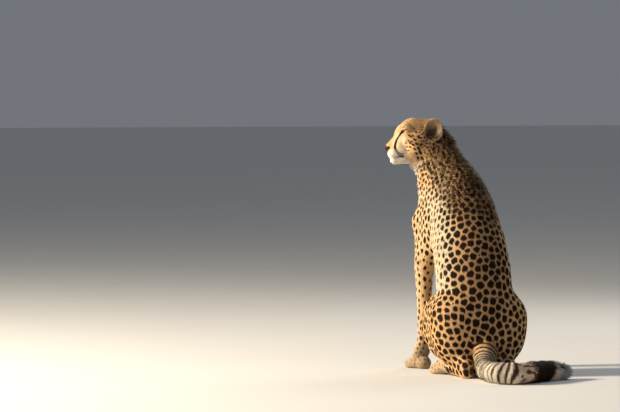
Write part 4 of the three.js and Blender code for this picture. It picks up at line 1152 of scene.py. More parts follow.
def ground_colours():
    """The coat's colour between the markings: gold along the back and thighs, tawny down the spine,
    partly its own darker back and partly painted shade, cream down the sides, partly its own
    paler flank and partly painted sunlight, white below, brown on the paws, painted shade down
    the rear of the lower forelegs, and head and tail by their own rules."""
    p, n = skin_points, skin_normals
    z = p[:, 2]
    uneven = 0.06 * waves(p, 110, 21)
    # Cream down the sides, gold along the back: partly the coat's own paler flank, partly painted
    # sunlight up the sides of the back.
    gold = smooth(0.42, 0.80, back + uneven)
    gold = np.maximum(gold, 0.72 * smooth(600, 690, z) * smooth(-0.35, 0.15, back + uneven))
    fore, hind = np.isin(skin_part, FORE_LEGS), np.isin(skin_part, HIND_LEGS)
    rear = 0.4 * smooth(0.4, 0.9, -n[:, 0]) * smooth(120, 260, z)
    upper = 0.52 + 0.06 * smooth(300, 480, z) + rear
    gold = np.where(fore, upper * smooth(-0.7, 0.1, back), gold)
    above_foot = smooth(-60, 80, z + 500 * (p[:, 0] < 118))
    gold = np.where(hind, 0.96 * smooth(-0.5, 0.15, back + uneven) * above_foot, gold)
    colour = mixed(CREAM, GOLD, gold)
    colour = mixed(colour, WHITE, 0.8 * smooth(-0.3, -0.8, back) * ~hind)
    # Tawny down the spine: partly the coat's own darker back, partly painted shade.
    spine = 0.95 * smooth(0.62, 0.95, back) * smooth(100, 420, z) * ~fore * ~hind
    colour = mixed(colour, TAWNY, spine)
    toes = smooth(66, 40, z) * smooth(108, 128, p[:, 0]) * (skin_part != TAIL_PART)
    paws = np.maximum(toes, fore * smooth(120, 60, z))
    colour = mixed(colour, PAW_BROWN, 0.9 * paws)
    # Painted shade down the rear of the lower forelegs.
    colour = mixed(colour, LEG_PAINTED_SHADE, 0.6 * fore * smooth(190, 80, z) * smooth(-0.1, 0.9, -n[:, 0]))
    colour = np.where((skin_part == HEAD)[:, None], face_ground(to_head(p)), colour)
    for s in (1, -1):
        colour_ear(colour, p, s)
    colour = np.where((skin_part == TAIL_PART)[:, None], tail_ground(p), colour)
    return colour * (1 + 0.05 * waves(p, 55, 22))[:, None]


ground = ground_colours()


def mark_colours():
    """The colour of the markings: soot black on the back, a deep brown down the sides and on the
    forelegs, partly their own less black spots and partly painted light, a deep brown on the tail's
    bands, and umber on crown and paws."""
    q = to_head(skin_points)
    off_eye = smooth(14, 26, np.linalg.norm(np.abs(q) - (62, 30, 36), axis=1))
    crown = (skin_part == HEAD) * smooth(18, 34, q[:, 2]) * smooth(-30, 0, q[:, 0]) * off_eye
    paws = smooth(96, 60, skin_points[:, 2]) * smooth(130, 160, skin_points[:, 0])
    place, _ = along_tail(skin_points)
    ringed = (skin_part == TAIL_PART) * (0.35 + 0.65 * smooth(370, 380, place))
    ringed = ringed * smooth(450, 436, place) * smooth(20, 60, place)
    # Browner spots down the sides and forelegs: partly their own colour, partly painted light.
    sides = 0.55 * smooth(0.5, 0.1, back) * (skin_part != TAIL_PART)
    dark = mixed(SOOT, BROWN, np.maximum(sides, ringed))
    return mixed(dark, UMBER, np.maximum(crown, paws * 0.35))


ink = mark_colours()


def new_mesh(name, points, faces):
    """A mesh, shaded smooth, from arrays of points in millimetres and of faces of one size."""
    faces = np.asarray(faces)
    mesh = bpy.data.meshes.new(name)
    count, size = faces.shape
    mesh.vertices.add(len(points))
    mesh.vertices.foreach_set("co", ((points + SHIFT) * 0.001).astype(np.float32).ravel())
    mesh.loops.add(count * size)
    mesh.loops.foreach_set("vertex_index", faces.astype(np.int32).ravel())
    mesh.polygons.add(count)
    mesh.polygons.foreach_set("loop_start", np.arange(0, count * size, size, dtype=np.int32))
    mesh.polygons.foreach_set("loop_total", np.full(count, size, np.int32))
    mesh.polygons.foreach_set("use_smooth", np.ones(count, bool))
    mesh.update(calc_edges=True)
    mesh.validate()
    return mesh


def new_piece(name, mesh, material):
    """A piece of the model, fixed to the root body, in the colour slot that it belongs to."""
    piece = bpy.data.objects.new(name, mesh)
    bpy.context.scene.collection.objects.link(piece)
    mesh.materials.append(material)
    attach(piece, "root")
    return piece


def set_numbers(mesh, name, numbers):
    """A number at each vertex, under a name that materials read."""
    layer = mesh.attributes.new(name, "FLOAT", "POINT")
    layer.data.foreach_set("value", numbers.astype(np.float32))


def set_colours(mesh, name, colours):
    """A colour at each vertex, under a name that materials read."""
    rgba = np.concatenate([colours, np.ones((len(colours), 1))], 1).astype(np.float32)
    layer = mesh.attributes.new(name, "FLOAT_COLOR", "POINT")
    layer.data.foreach_set("color", rgba.ravel())


class Nodes:
    """Short hand for building a material's nodes."""

    def __init__(self, name):
        self.material = bpy.data.materials.new(name)
        self.material.use_nodes = True
        self.tree = self.material.node_tree
        self.shader = self.tree.nodes["Principled BSDF"]

    def plug(self, socket, value):
        """Links a socket to an output, or gives it a plain value."""
        if isinstance(value, bpy.types.NodeSocket):
            self.tree.links.new(value, socket)
        else:
            socket.default_value = value

    def add(self, kind, inputs=None, **settings):
        """A new node with its settings and what its inputs get."""
        node = self.tree.nodes.new(kind)
        for key, value in settings.items():
            setattr(node, key, value)
        for key, value in (inputs or {}).items():
            self.plug(node.inputs[key], value)
        return node

    def held(self, name, output="Fac"):
        """The numbers that a mesh holds under a name, or with output Color its colours."""
        return self.add("ShaderNodeAttribute", attribute_name=name).outputs[output]

    def noise(self, scale, detail=2.0):
        """Noise from 0 to 1 in lumps of about 1 m / scale."""
        place = self.add("ShaderNodeTexCoord").outputs["Object"]
        inputs = {"Vector": place, "Scale": scale, "Detail": detail}
        return self.add("ShaderNodeTexNoise", inputs).outputs["Fac"]

    def between(self, value, low, high):
        """A value from 0 to 1, brought to between low and high."""
        inputs = {"Value": value, "To Min": low, "To Max": high}
        return self.add("ShaderNodeMapRange", inputs).outputs[0]

    def math(self, operation, *values):
        """One operation on values."""
        return self.add("ShaderNodeMath", dict(enumerate(values)), operation=operation).outputs[0]

    def mix(self, share, a, b, **settings):
        """From colour a to colour b, by a share."""
        inputs = {"Factor": share, "A": a, "B": b}
        return self.add("ShaderNodeMix", inputs, data_type="RGBA", **settings).outputs["Result"]

    def toned(self, colour, scale, detail, low, high):
        """A colour times noise between low and high."""
        tone = self.between(self.noise(scale, detail), low, high)
        return self.mix(1.0, colour, tone, blend_type="MULTIPLY")

    def to_shader(self, **sockets):
        """What the surface's own inputs get."""
        for key, value in sockets.items():
            self.plug(self.shader.inputs[key.replace("_", " ")], value)


def hide_material():
    """Under-coat: the ground colour, with dark markings whose edges are broken by fine noise, and a
    bump of short hair. Bare skin is the smoother."""
    n = Nodes("short_under_coat")
    edge = n.math("ADD", n.held("mark"), n.math("MULTIPLY_ADD", n.noise(900.0), -3.0, 1.5))
    inputs = {"Value": edge, "From Min": 0.5, "From Max": -0.5}
    dark = n.add("ShaderNodeMapRange", inputs).outputs[0]
    shade = n.mix(dark, n.held("ground", "Color"), n.held("ink", "Color"))
    hair = n.noise(1500.0, 3.0)
    colour = n.mix(1.0, shade, n.between(hair, 0.72, 1.08), blend_type="MULTIPLY")
    bump = n.add("ShaderNodeBump", {"Height": hair, "Strength": 0.5, "Distance": 0.0008})
    n.to_shader(
        Base_Color=colour, Roughness=n.between(n.held("bare"), 0.85, 0.42),
        Normal=bump.outputs["Normal"], Specular_IOR_Level=0.25,
    )
    return n.material


head_place = to_head(skin_points)
lid_edge = np.full(len(skin_points), np.inf)
for s in (1, -1):
    almond, _, out = lid_opening(head_place, s)
    lid_edge = np.minimum(lid_edge, almond + 40 * (out < 4))
bare_lids = smooth(2.0, 0.6, lid_edge) * (skin_part == HEAD)
bare_share = np.maximum(smooth(2.0, -0.5, nose_distance(head_place)), bare_lids)
skin_mesh = new_mesh("hide", skin_points, skin_quads)
set_numbers(skin_mesh, "mark", mark)
set_numbers(skin_mesh, "bare", bare_share)
set_colours(skin_mesh, "ground", ground)
set_colours(skin_mesh, "ink", ink)
skin = new_piece("hide", skin_mesh, hide_material())
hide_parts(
    "torso", "neck", "head", "ear_left", "ear_right",
    "upper_foreleg_left", "upper_foreleg_right", "forearm_left", "forearm_right",
    "forepaw_left", "forepaw_right", "thigh_left", "thigh_right",
    "lower_leg_left", "lower_leg_right", "hind_foot_left", "hind_foot_right",
    "tail_base", "tail_bend", "tail_banded", "tail_tip",
)

# ======================================================================================
# Coat: short, close hair in flat pointed tufts that lie along the body, shortest on the
# face and feet. Each tuft is a closed spike rooted in the hide, and takes its colours from the
# places over which it lies.
# ======================================================================================
UNWRAP = [
    # origin and axis of the part that is unrolled, its near and far end along it, and its oblong of
    # the map: left, bottom, width and height
    (vec(150, 0, 0), vec(0.34, 0.04, 0.94), -20, 900, (0.0, 0.0, 0.62, 0.74)),
    (in_head(0, 0, 0), head_dir(1, 0, 0), -110, 140, (0.0, 0.75, 0.36, 0.2)),
    (vec(430, 89, 0), vec(-0.03, 0, 1), 0, 680, (0.63, 0.0, 0.17, 0.5)),
    (vec(430, -89, 0), vec(-0.03, 0, 1), 0, 680, (0.81, 0.0, 0.17, 0.5)),
    (vec(-20, 96, 60), vec(1, 0.05, 0.3), -20, 330, (0.63, 0.51, 0.36, 0.22)),
    (vec(-20, -96, 60), vec(1, -0.05, 0.3), -20, 330, (0.63, 0.74, 0.36, 0.22)),
]
TAIL_OBLONG = (0.37, 0.76, 0.24, 0.22)


def unrolled(p, part):
    """Each point's place on the unrolled hide: the angle about its part's axis across, and the way
    along it up, inside that part's own oblong."""
    uv = np.zeros((len(p), 2))
    for number, (origin, axis, near, far, (u0, v0, du, dv)) in enumerate(UNWRAP):
        own = part == number
        axis = unit(axis)
        d = p[own] - origin
        first = unit(np.cross(axis, vec(0.3, 1, 0.1)))
        second = np.cross(axis, first)
        angle = np.arctan2(d @ second, d @ first) / (2 * math.pi) + 0.5
        uv[own, 0] = u0 + du * angle
        uv[own, 1] = v0 + dv * np.clip((d @ axis - near) / (far - near), 0, 1)
    own = part == TAIL_PART
    place, off = along_tail(p[own])
    u0, v0, du, dv = TAIL_OBLONG
    way = TAIL_WAY[np.clip(np.searchsorted(TAIL_AT, place), 0, len(TAIL_AT) - 1)]
    across = unit(np.cross(way, (0, 0, 1)))
    uv[own, 0] = u0 + du * (np.arctan2(off[:, 2], (off * across).sum(1)) / (2 * math.pi) + 0.5)
    uv[own, 1] = v0 + dv * np.clip(place / (TAIL_AT[-1] + 40), 0, 1)
    return uv


TRIANGLES = np.concatenate([skin_quads[:, [0, 1, 2]], skin_quads[:, [0, 2, 3]]])
CORNER_A, CORNER_B, CORNER_C = (skin_points[TRIANGLES[:, c]] for c in range(3))
EDGES_CROSSED = np.cross(CORNER_B - CORNER_A, CORNER_C - CORNER_A)
AREA = np.linalg.norm(EDGES_CROSSED, axis=1) / 2
FACE_MIDDLE = skin_points[TRIANGLES].mean(1)
FACE_PART = skin_part[TRIANGLES[:, 0]]
FACE_NORMAL = unit(EDGES_CROSSED + 1e-12)
FACE_BARE = bare_share[TRIANGLES].mean(1)
FACE_BACK = back[TRIANGLES].mean(1)
FACE_TAIL = along_tail(FACE_MIDDLE)[0]
FACE_HEAD = to_head(FACE_MIDDLE)


def roots(where, count, seed):
    """Places on the hide for count tufts, drawn by area and by the weight where: point, normal,
    lie, spot size, colours and part of each."""
    draw = np.random.default_rng(seed)
    weight = AREA * where
    faces = draw.choice(len(AREA), count, p=weight / weight.sum())
    a, b = draw.random(count), draw.random(count)
    flip = a + b > 1
    a[flip], b[flip] = 1 - a[flip], 1 - b[flip]
    share = np.stack([1 - a - b, a, b], 1)
    corners = TRIANGLES[faces]

    def blend(values):
        w = share.reshape(share.shape + (1,) * (values.ndim - 1))
        return (values[corners] * w).sum(1)

    return dict(
        point=blend(skin_points), normal=unit(blend(skin_normals)), lie=unit(blend(skin_lie)),
        radius=blend(spot_radius), ground=blend(ground), ink=blend(ink),
        part=skin_part[corners[:, 0]], draw=draw, marked=True,
    )


# Triangles of a straight tuft: root 0 1 2 and tip 3; and of a bent one: root, middle 3 4 5, tip 6.
SPIKE = np.array([[0, 1, 3], [1, 2, 3], [2, 0, 3], [0, 2, 1]])
BENT = np.array([
    [0, 2, 1], [0, 1, 4], [0, 4, 3], [1, 2, 5], [1, 5, 4],
    [2, 0, 3], [2, 3, 5], [3, 4, 6], [4, 5, 6], [5, 3, 6],
])
SUNK = 0.8  # depth of a root in the hide, in thicknesses of the tuft
NEAR_AT, FAR_AT = 0.3, 0.75  # places along a tuft that its colours are taken from


def tufts(r, length, width, thick, lift, bend=None, swirl=0.2):
    """Spikes of hair from their roots. Each root is a flat triangle across the lie, sunk in the
    hide, and the tip lies its length along the lie, raised by the angle lift. A bent one has a
    second triangle half way, off the straight line by bend along the normal."""
    draw, n, count = r["draw"], r["normal"], len(r["point"])
    side = np.cross(n, r["lie"])
    swing = (0.16 * waves(r["point"], 45, 31) + draw.normal(0, swirl, count))[:, None]
    lie = unit(r["lie"] * np.cos(swing) + side * np.sin(swing))
    side = np.cross(n, lie)
    lift = (lift * draw.uniform(0.7, 1.25, count))[:, None]
    way = lie * np.cos(lift) + n * np.sin(lift)
    up = np.cross(way, side)
    length = (length * draw.uniform(0.75, 1.2, count))[:, None]
    half = (width * draw.uniform(0.8, 1.2, count) / 2)[:, None]
    thick = (thick * np.ones(count))[:, None]
    base = r["point"] - n * thick * SUNK

    def ring(at, share):
        return [at - side * half * share, at + side * half * share, at + up * thick * share]

    tip = base + way * length
    r["near"], r["far"] = r["point"] + lie * length * NEAR_AT, r["point"] + lie * length * FAR_AT
    turned_out = [n - side * 0.5, n + side * 0.5, n + lie * 0.2]
    if bend is None:
        points, faces = np.stack([*ring(base, 1.0), tip], 1), SPIKE
        normals = np.stack([*turned_out, n], 1)
    else:
        middle = base + way * length * 0.5 + n * (bend * length)
        points, faces = np.stack([*ring(base, 0.8), *ring(middle, 0.85), tip], 1), BENT
        normals = np.stack([*turned_out, *turned_out, n], 1)
    index = (np.arange(count) * points.shape[1])[:, None, None] + faces[None]
    return points, index.reshape(-1, 3), unit(normals)


TONE_SPREAD = 0.17  # from tuft to tuft


def tuft_colours(r, size):
    """Each tuft's colour from its root to its tip: black over a marking and the ground colour
    beside it, by the places over which it lies, and lighter at the tip than at the root."""
    draw, count = r["draw"], len(r["part"])
    tone = np.clip(draw.normal(1, TONE_SPREAD, count), 0.6, 1.35)[:, None, None]
    black = r["ink"] * draw.uniform(0.8, 1.5, (count, 1))
    uneven = draw.normal(0, 0.4, count)
    shares = []
    for place in (r["near"], r["far"]):
        d = np.full(count, CLEAR)
        if r["marked"]:
            d = markings(place, r["normal"], r["part"], r["radius"])
        shares.append(smooth(0.7, -0.7, d + uneven))
    near, far = (mixed(r["ground"], black, share)[:, None] for share in shares)
    straight = size == SPIKE.max() + 1
    along = np.repeat([0.0, 1.0], (3, 1)) if straight else np.repeat([0.0, 0.5, 1.0], (3, 3, 1))
    along = along[:, None]
    return ((near * (1 - along) + far * along) * tone * (0.80 + 0.32 * along)).reshape(-1, 3)


def coat_material(name, roughness):
    """Hair: the tuft's own colour, dull, with a fine unevenness of tone."""
    n = Nodes(name)
    colour = n.toned(n.held("tint", "Color"), 2200.0, 2.0, 0.82, 1.16)
    n.to_shader(Base_Color=colour, Roughness=roughness, Specular_IOR_Level=0.06)
    return n.material


short_hair = coat_material("short_hair", 0.72)
long_hair = coat_material("long_hair", 0.6)
FLOOR_GAP = 0.25  # no hair lies lower
MAP_SPREAD = 0.0014  # half the size of a tuft on the map


def coat_piece(name, r, shape, material=short_hair):
    """One piece of the coat from its roots and the shape of its tufts. On the map, each tuft is a
    small patch at its root's place on the unrolled hide."""
    points, faces, normals = shape
    size = points.shape[1]
    points = points.reshape(-1, 3)
    points[:, 2] = np.maximum(points[:, 2], FLOOR_GAP)
    mesh = new_mesh(name, points, faces)
    set_colours(mesh, "tint", tuft_colours(r, size))
    uv = unrolled(r["point"], r["part"])
    across = np.resize((-MAP_SPREAD, MAP_SPREAD, 0.0), size)
    spread = np.stack([across, np.linspace(-MAP_SPREAD, MAP_SPREAD, size)], 1)
    corner = np.clip((uv[:, None] + spread[None]).reshape(-1, 2), 0.0005, 0.9995)
    layer = mesh.uv_layers.new(name="OFBake")
    layer.data.foreach_set("uv", corner[faces.ravel()].astype(np.float32).ravel())
    mesh.normals_split_custom_set_from_vertices(normals.reshape(-1, 3).astype(np.float32))
    new_piece(name, mesh, material)


z_face = FACE_MIDDLE[:, 2]
sole = (FACE_NORMAL[:, 2] < -0.8) & (z_face < 6)
covered = (FACE_BARE < 0.3) & ~sole
on_trunk, on_head, on_tail = ((FACE_PART == part) & covered for part in (TRUNK, HEAD, TAIL_PART))
thinned = 1 - 0.45 * smooth(-0.2, -0.6, FACE_BACK)  # fewer tufts below and on the legs' inner sides
PATCHES = [
    # name, faces, tufts, seed, length, width, lift
    ("coat_neck", on_trunk & (z_face > 640), 38000, 41, 7.5, 1.9, 0.38),
    ("coat_withers", on_trunk & (z_face <= 640) & (z_face > 500), 32000, 42, 7.5, 2.1, 0.38),
    ("coat_back", on_trunk & (z_face <= 500) & (z_face > 320), 40000, 43, 8.0, 2.3, 0.38),
    ("coat_rump", on_trunk & (z_face <= 320), 27000, 44, 8.0, 2.3, 0.38),
    ("coat_left_thigh", (FACE_PART == HIND_LEFT) & covered, 32000, 45, 8.0, 2.1, 0.38),
    ("coat_right_thigh", (FACE_PART == HIND_RIGHT) & covered, 28000, 46, 8.0, 2.1, 0.38),
    ("coat_left_foreleg", (FACE_PART == FORE_LEFT) & covered, 27000, 47, 7.5, 2.1, 0.36),
    ("coat_right_foreleg", (FACE_PART == FORE_RIGHT) & covered, 22000, 48, 7.5, 2.1, 0.36),
]
for name, where, count, seed, length, width, lift in PATCHES:
    r = roots(where * thinned, count, seed)
    depth = np.clip(coat_depth(r["point"]) / DEEPEST, 0, 1)
    size, rise = 0.5 + 0.5 * depth, np.clip(depth, 0.75, 1)
    coat_piece(name, r, tufts(r, length * size, width * size, 0.9 * size, lift * rise))

# The head's coat is the finest: a few millimetres at the nose, longer to the cheeks and nape.
r = roots(on_head, 46000, 51)
grow = smooth(10, 130, np.linalg.norm(to_head(r["point"]) - (100, 0, -10), axis=1))
grow = np.where(near_ear(r["point"]), 0.18, grow)
coat_piece(
    "coat_head", r,
    tufts(r, 3.2 + 6.4 * grow, 0.9 + 0.7 * grow, 0.45, 0.26 + 0.08 * grow, swirl=0.16),
)

# The tail's coat is one length all along it.
r = roots(on_tail, 22000, 52)
coat_piece("coat_tail", r, tufts(r, 8.5, 2.1, 0.8, 0.38))

# ======================================================================================
# Long hair: a crest down the nape, a ruff on throat and cheeks, a looser coat on the chest
# and belly, a fringe in the ears, and a full brush at the end of the tail. Its tufts are bent
# half way and rooted in the hide among the short ones.
# ======================================================================================
f_face, l_face, u_face = FACE_HEAD.T
behind_skull = (FACE_PART == HEAD) & (f_face < -34) & (u_face > -20) & ~near_ear(FACE_MIDDLE)
nape = (on_trunk & (z_face > 500)) | behind_skull
r = roots(nape * smooth(0.3, 0.8, FACE_BACK) * smooth(500, 640, z_face) * covered, 6500, 61)
high = smooth(520, 700, r["point"][:, 2])
coat_piece("nape_crest", r, tufts(r, 13 + 11 * high, 1.9, 0.9, 0.5, 0.04, 0.34), long_hair)

under_jaw = smooth(-50, -66, u_face) * smooth(54, 40, f_face) * smooth(-30, 0, f_face)
jowl = smooth(30, 50, np.abs(l_face)) * smooth(10, -20, u_face) * smooth(24, -6, f_face)
throat = (on_trunk & (z_face > 715) & (FACE_BACK < 0.2)) * 0.08
r = roots(on_head * np.maximum(under_jaw, jowl * 0.4) + throat, 5000, 62)
q = to_head(r["point"])
hang = smooth(-44, -70, q[:, 2]) * smooth(-30, 10, q[:, 0])
r["lie"] = unit(r["lie"] * (1 - 0.8 * hang[:, None]) + vec(0, 0.1, -1) * hang[:, None])
shape = tufts(r, 11 + 8 * hang, 1.5, 0.8, 0.3, 0.05, 0.22)
coat_piece("throat_ruff", r, shape, long_hair)

low_chest = smooth(-0.2, -0.7, FACE_BACK) * smooth(120, 200, z_face) * smooth(690, 620, z_face)
r = roots(on_trunk * low_chest, 5000, 63)
coat_piece("breast_hair", r, tufts(r, 20.0, 2.2, 1.0, 0.4, 0.04, 0.25), long_hair)

FRINGE_TUFTS = 1200
fringe, lies = np.zeros(len(AREA)), []
for s in (1, -1):
    b, u, _ = in_ear(FACE_MIDDLE, s)
    _, ear_back, up, opening = ear_frame(s)
    rim = np.hypot(b / EAR_WIDE, u / EAR_HIGH)
    inner = (ear_distance(FACE_MIDDLE, s) < 2.5) & (FACE_NORMAL @ opening > 0) & (rim < 0.8)
    fringe += inner * (0.25 + smooth(1.0, 0.6, np.hypot((b - 14) / 16, (u + 2) / 28)))
    lies.append(ear_back * 0.5 + up)
r = roots(fringe, FRINGE_TUFTS, 64)
near_left = to_head(r["point"])[:, 1] > 0
r["lie"] = unit(np.where(near_left[:, None], *lies))
# The fringe's pale cream darkened by painted shade inside the ear, unevenly from tuft to tuft.
r["ground"], r["marked"] = CREAM * r["draw"].uniform(0.14, 0.55, (FRINGE_TUFTS, 1)), False
coat_piece("ear_fringe", r, tufts(r, 12.0, 1.0, 0.4, 0.3, 0.06, 0.35), long_hair)

r = roots(on_tail * smooth(400, 520, FACE_TAIL), 6000, 65)
end = smooth(430, 620, along_tail(r["point"])[0])
r["lie"] = unit(r["lie"] + unit(vec(0.1, -0.97, -0.1)) * end[:, None])
coat_piece("tail_brush", r, tufts(r, 19 + 10 * end, 2.6, 1.1, 0.38, 0.05, 0.32), long_hair)

# ======================================================================================
# Eyes: amber balls with a round pupil, a dark rim, and a clear, wet surface. They sit in the
# sockets behind the lids.
# ======================================================================================
EYE_STEPS = 48  # rings from the look to the back, and points round each
CORNEA = 0.9  # height of its dome


def eye_mesh(s):
    """An eyeball: a ball about the look, at an angle a from it and b round it, whose radius rises
    by the cornea's low dome where a is small."""
    turn = np.arange(EYE_STEPS) * 2 * math.pi / EYE_STEPS
    a, b = np.meshgrid(np.linspace(0, math.pi, EYE_STEPS + 1), turn, indexing="ij")
    look = head_dir(*(EYE_LOOK * (1, s, 1)))
    along = head_dir(*(EYE_ALONG * (1, s, 1)))
    along = unit(along - look * (along @ look))
    over = np.cross(look, along)
    radius = EYE_RADIUS - EYE_PLAY + CORNEA * smooth(0.62, 0.1, a)
    way = np.cos(a)[..., None] * look + (np.sin(a) * np.cos(b))[..., None] * along
    way = way + (np.sin(a) * np.sin(b))[..., None] * over
    points = in_head(EYE[0], EYE[1] * s, EYE[2]) + way * radius[..., None]
    grid = np.arange((EYE_STEPS + 1) * EYE_STEPS).reshape(EYE_STEPS + 1, EYE_STEPS)
    quads = np.stack([grid[:-1], grid[1:], np.roll(grid[1:], -1, 1), np.roll(grid[:-1], -1, 1)], -1)
    mesh = new_mesh("eyeball", points.reshape(-1, 3), quads.reshape(-1, 4))
    set_numbers(mesh, "off_look", a.ravel())
    return mesh


EYE_RINGS = [  # angle from the look, colour
    (0.0, (0.004, 0.004, 0.004)), (0.24, (0.004, 0.004, 0.004)),  # pupil
    (0.27, (0.52, 0.24, 0.045)), (0.46, (0.40, 0.15, 0.025)),  # iris
    (0.56, (0.03, 0.016, 0.010)), (0.70, (0.05, 0.03, 0.024)), (1.2, (0.08, 0.05, 0.04)),  # rim
]


def eye_material():
    """Amber iris round a black pupil: rings of colour by the angle from the look."""
    n = Nodes("amber_eye")
    (_, first), *between, (widest, last) = EYE_RINGS
    ramp = n.add("ShaderNodeValToRGB", {"Fac": n.math("DIVIDE", n.held("off_look"), widest)})
    stops = ramp.color_ramp.elements
    stops[0].color, stops[1].color = (*first, 1), (*last, 1)
    for at, colour in between:
        stops.new(at / widest).color = (*colour, 1)
    n.to_shader(
        Base_Color=ramp.outputs["Color"], Roughness=0.12, Coat_Weight=1.0, Coat_Roughness=0.03
    )
    return n.material


amber = eye_material()
for s, name in ((1, "left"), (-1, "right")):
    eye = new_piece("eyeball_" + name, eye_mesh(s), amber)
    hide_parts("eye_" + name)

# ======================================================================================
# Claws: blunt, dark horn, one at the tip of each toe and one on each dewclaw, rooted under
# the hair. Whiskers: stiff white hairs from the pads of the upper lip and over the eyes.
# ======================================================================================
def horns(roots_at, ways, bends, length, radius, rings, segments):
    """Curved, tapering horns: the middle line is root + way t L + bend t t L, and the radius falls
    as the square root of 1 - t. Returns points and the triangles of closed horns."""
    t = np.linspace(0, 1, rings + 1)[:-1]
    b = np.arange(segments) * 2 * math.pi / segments
    side = unit(np.cross(ways, bends))
    curve = ways[:, None] * t[:, None] + bends[:, None] * (t**2)[:, None]
    line = roots_at[:, None] + curve * length[:, None, None]
    run = unit(ways[:, None] + 2 * bends[:, None] * t[:, None])
    over = np.cross(run, side[:, None])
    wide = radius[:, None] * np.sqrt(1 - t)
    ring = np.cos(b)[:, None] * side[:, None, None] + np.sin(b)[:, None] * over[:, :, None]
    points = line[:, :, None] + ring * wide[..., None, None]
    tips = roots_at + (ways + bends) * length[:, None]
    count, each = len(roots_at), rings * segments
    points = np.concatenate([points.reshape(count, each, 3), roots_at[:, None], tips[:, None]], 1)
    grid = np.arange(each).reshape(rings, segments)
    a, c = grid[:-1], grid[1:]
    faces = [
        np.stack([a, np.roll(a, -1, 1), np.roll(c, -1, 1)], -1).reshape(-1, 3),
        np.stack([a, np.roll(c, -1, 1), c], -1).reshape(-1, 3),
        np.stack([np.full(segments, each), np.roll(grid[0], -1), grid[0]], -1),
        np.stack([np.full(segments, each + 1), grid[-1], np.roll(grid[-1], -1)], -1),
    ]
    faces = np.concatenate(faces)
    index = (np.arange(count) * (each + 2))[:, None, None] + faces[None]
    return points.reshape(-1, 3), index.reshape(-1, 3)


def toe_claws(paw):
    """Root and heading of the claw of each toe of a paw."""
    _, heading, toes_of_paw = paw
    return [(tip + heading * 9 + vec(0, 0, 9), heading) for _, tip, _, _ in toes_of_paw]


def claw_roots():
    """Root and heading of every claw: one above the tip of each toe, and one on each dewclaw."""
    made = []
    for s, _, lead in FORE_SIDES:
        dewclaw = vec(WRIST[0] + lead + 14, (WRIST[1] - 26) * s, 56)
        made += [*toe_claws(fore_paw(s, lead)), (dewclaw, unit(vec(0.8, -0.2 * s, -0.55)))]
    for s, _ in HIND_SIDES:
        made += toe_claws(hind_paw(s))
    return (np.array(column) for column in zip(*made))


def horn_material():
    """Horn: dark brown, unevenly dark, a little shiny."""
    n = Nodes("horn")
    colour = n.mix(n.noise(600.0, 3.0), (0.05, 0.035, 0.026, 1), (0.17, 0.13, 0.10, 1))
    n.to_shader(Base_Color=colour, Roughness=0.38)
    return n.material


CLAW_LENGTH, CLAW_RADIUS = 15.0, 3.3
CLAW_RISE, CLAW_CURL = vec(0, 0, 0.1), vec(0, 0, -0.55)  # added to the heading, and the bend
at, ways = claw_roots()
count = len(at)
points, faces = horns(
    at, unit(ways + CLAW_RISE), np.tile(CLAW_CURL, (count, 1)), np.full(count, CLAW_LENGTH),
    np.full(count, CLAW_RADIUS), rings=8, segments=10,
)
points[:, 2] = np.maximum(points[:, 2], 0.6)
new_piece("claws", new_mesh("claws", points, faces), horn_material())


def on_face(f, u, s):
    """The outermost place of the hide on one side of the head at f forward and u up."""
    q = to_head(skin_points)
    elsewhere = (skin_part != HEAD) | (s * q[:, 1] < 4)
    off = np.hypot(q[:, 0] - f, q[:, 2] - u) - 0.02 * s * q[:, 1] + 100 * elsewhere
    return skin_points[off.argmin()]


WHISKERS = [  # forward and up on the whisker pad and the brow, and length
    (112, -22, 52), (105, -21, 66), (97, -20, 74), (112, -28, 56), (105, -28, 70), (97, -27, 82),
    (91, -25, 76), (110, -34, 48), (103, -34, 60), (95, -33, 66),
    (64, 55, 42), (58, 57, 48), (70, 52, 34),
]
WHISKER_RADIUS = 0.2
WHISKER_BEND = HEAD_TURN @ vec(-0.3, 0.0, -0.16)
whiskers = []
draw = np.random.default_rng(71)
for s in (1, -1):
    for f, u, length in WHISKERS:
        rise = 0.55 if u > 0 else -0.05 + 0.012 * (u + 28)
        way = unit(vec(-0.22, 0.85 * s, rise) + draw.normal(0, 0.06, 3))
        whiskers.append((on_face(f, u, s), HEAD_TURN @ way, length * draw.uniform(0.9, 1.1)))
at, ways, lengths = (np.array(column) for column in zip(*whiskers))
count = len(at)
points, faces = horns(
    at, ways, np.tile(WHISKER_BEND, (count, 1)), lengths, np.full(count, WHISKER_RADIUS),
    rings=10, segments=4,
)
n = Nodes("whisker")
pale = n.mix(n.noise(300.0), (0.82, 0.78, 0.70, 1), (0.95, 0.93, 0.88, 1))
n.to_shader(Base_Color=pale, Roughness=0.35)
new_piece("whiskers", new_mesh("whiskers", points, faces), n.material)

# ======================================================================================
# Floor, light and camera. The camera stands low, behind the animal and to its left, and the
# light is a warm one from its left, with a weak cool fill and a rim light from beyond.
# ======================================================================================
def plain_material(name, colour, roughness):
    """One colour with a faint unevenness."""
    n = Nodes(name)
    n.to_shader(Base_Color=n.toned((*colour, 1), 3.0, 4.0, 0.97, 1.03), Roughness=roughness)
    return n.material


FLOOR_HALF, FLOOR_TOP = 60, -0.0005  # metres
floor_mesh = bpy.data.meshes.new("floor")
corners = ((-1, -1), (1, -1), (1, 1), (-1, 1))
corners = [(x * FLOOR_HALF, y * FLOOR_HALF, FLOOR_TOP) for x, y in corners]
floor_mesh.from_pydata(corners, [], [(0, 1, 2, 3)])
floor = bpy.data.objects.new("floor", floor_mesh)
bpy.context.scene.collection.objects.link(floor)
floor_mesh.materials.append(plain_material("pale_floor", (0.74, 0.73, 0.71), 0.8))

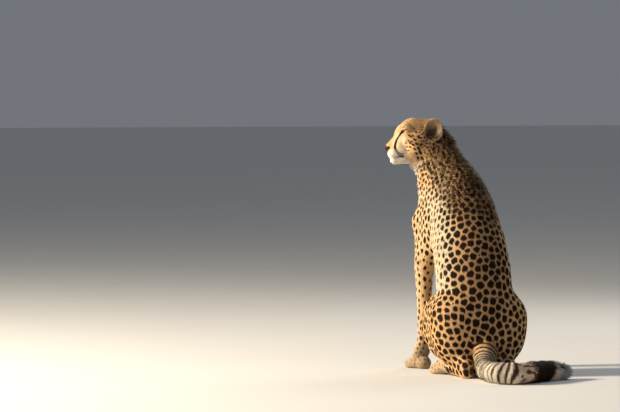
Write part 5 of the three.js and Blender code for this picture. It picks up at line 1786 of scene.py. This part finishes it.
FRAME_WIDE, FRAME_HIGH = 620.0, 412.0  # picture points
FOCAL = 3420.0  # the lens's length in picture points
ORIGIN_AT = (489.0, 377.2)  # where the zero of the animal's frame shows in the picture
DISTANCE = 12000.0
SENSOR_WIDE = 36.0
heading, elevation = math.radians(21), math.radians(5)  # to the right of straight ahead, and down
away = vec(math.cos(heading), -math.sin(heading), 0)
rightward = vec(-math.sin(heading), -math.cos(heading), 0)
look = away * math.cos(elevation) - vec(0, 0, 1) * math.sin(elevation)
upward = vec(0, 0, 1) * math.cos(elevation) + away * math.sin(elevation)
right_by, down_by = ORIGIN_AT[0] - FRAME_WIDE / 2, ORIGIN_AT[1] - FRAME_HIGH / 2
axis = unit(look * FOCAL - rightward * right_by + upward * down_by)
camera_data = bpy.data.cameras.new("camera")
camera_data.sensor_width = SENSOR_WIDE
camera_data.lens = SENSOR_WIDE * FOCAL / FRAME_WIDE
camera_data.clip_end = 200.0
camera = bpy.data.objects.new("camera", camera_data)
bpy.context.scene.collection.objects.link(camera)
camera.location = Vector((SHIFT - look * DISTANCE) * 0.001)
camera.rotation_euler = Vector(axis).to_track_quat("-Z", "Y").to_euler()
bpy.context.scene.camera = camera


AIM = Vector((0, 0, 0.45))  # the middle of the animal
CAMERA_RIGHT, CAMERA_BACK, UP = Vector(rightward), Vector(-away), Vector((0, 0, 1))


def soft_light(name, right, back, high, energy, size, colour):
    """A round light so many metres to the camera's right, back towards it and up, that shines on
    the middle of the animal."""
    data = bpy.data.lights.new(name, "AREA")
    data.shape, data.size, data.energy, data.color = "DISK", size, energy, colour
    light = bpy.data.objects.new(name, data)
    bpy.context.scene.collection.objects.link(light)
    light.location = CAMERA_RIGHT * right + CAMERA_BACK * back + UP * high
    light.rotation_euler = (AIM - light.location).to_track_quat("-Z", "Y").to_euler()


soft_light("key", -6.1, 1.5, 3.0, 980, 1.1, (1.0, 0.87, 0.68))
soft_light("fill", 2.2, 3.4, 1.8, 14, 2.6, (0.90, 0.95, 1.0))
soft_light("rim", 1.8, -3.0, 2.6, 40, 2.0, (1.0, 0.97, 0.92))
world = bpy.data.worlds.new("studio")
bpy.context.scene.world = world
bpy.context.scene.view_settings.view_transform = "Standard"
world.use_nodes = True
background = world.node_tree.nodes["Background"].inputs
background["Color"].default_value = (0.80, 0.86, 0.95, 1)
background["Strength"].default_value = 0.21
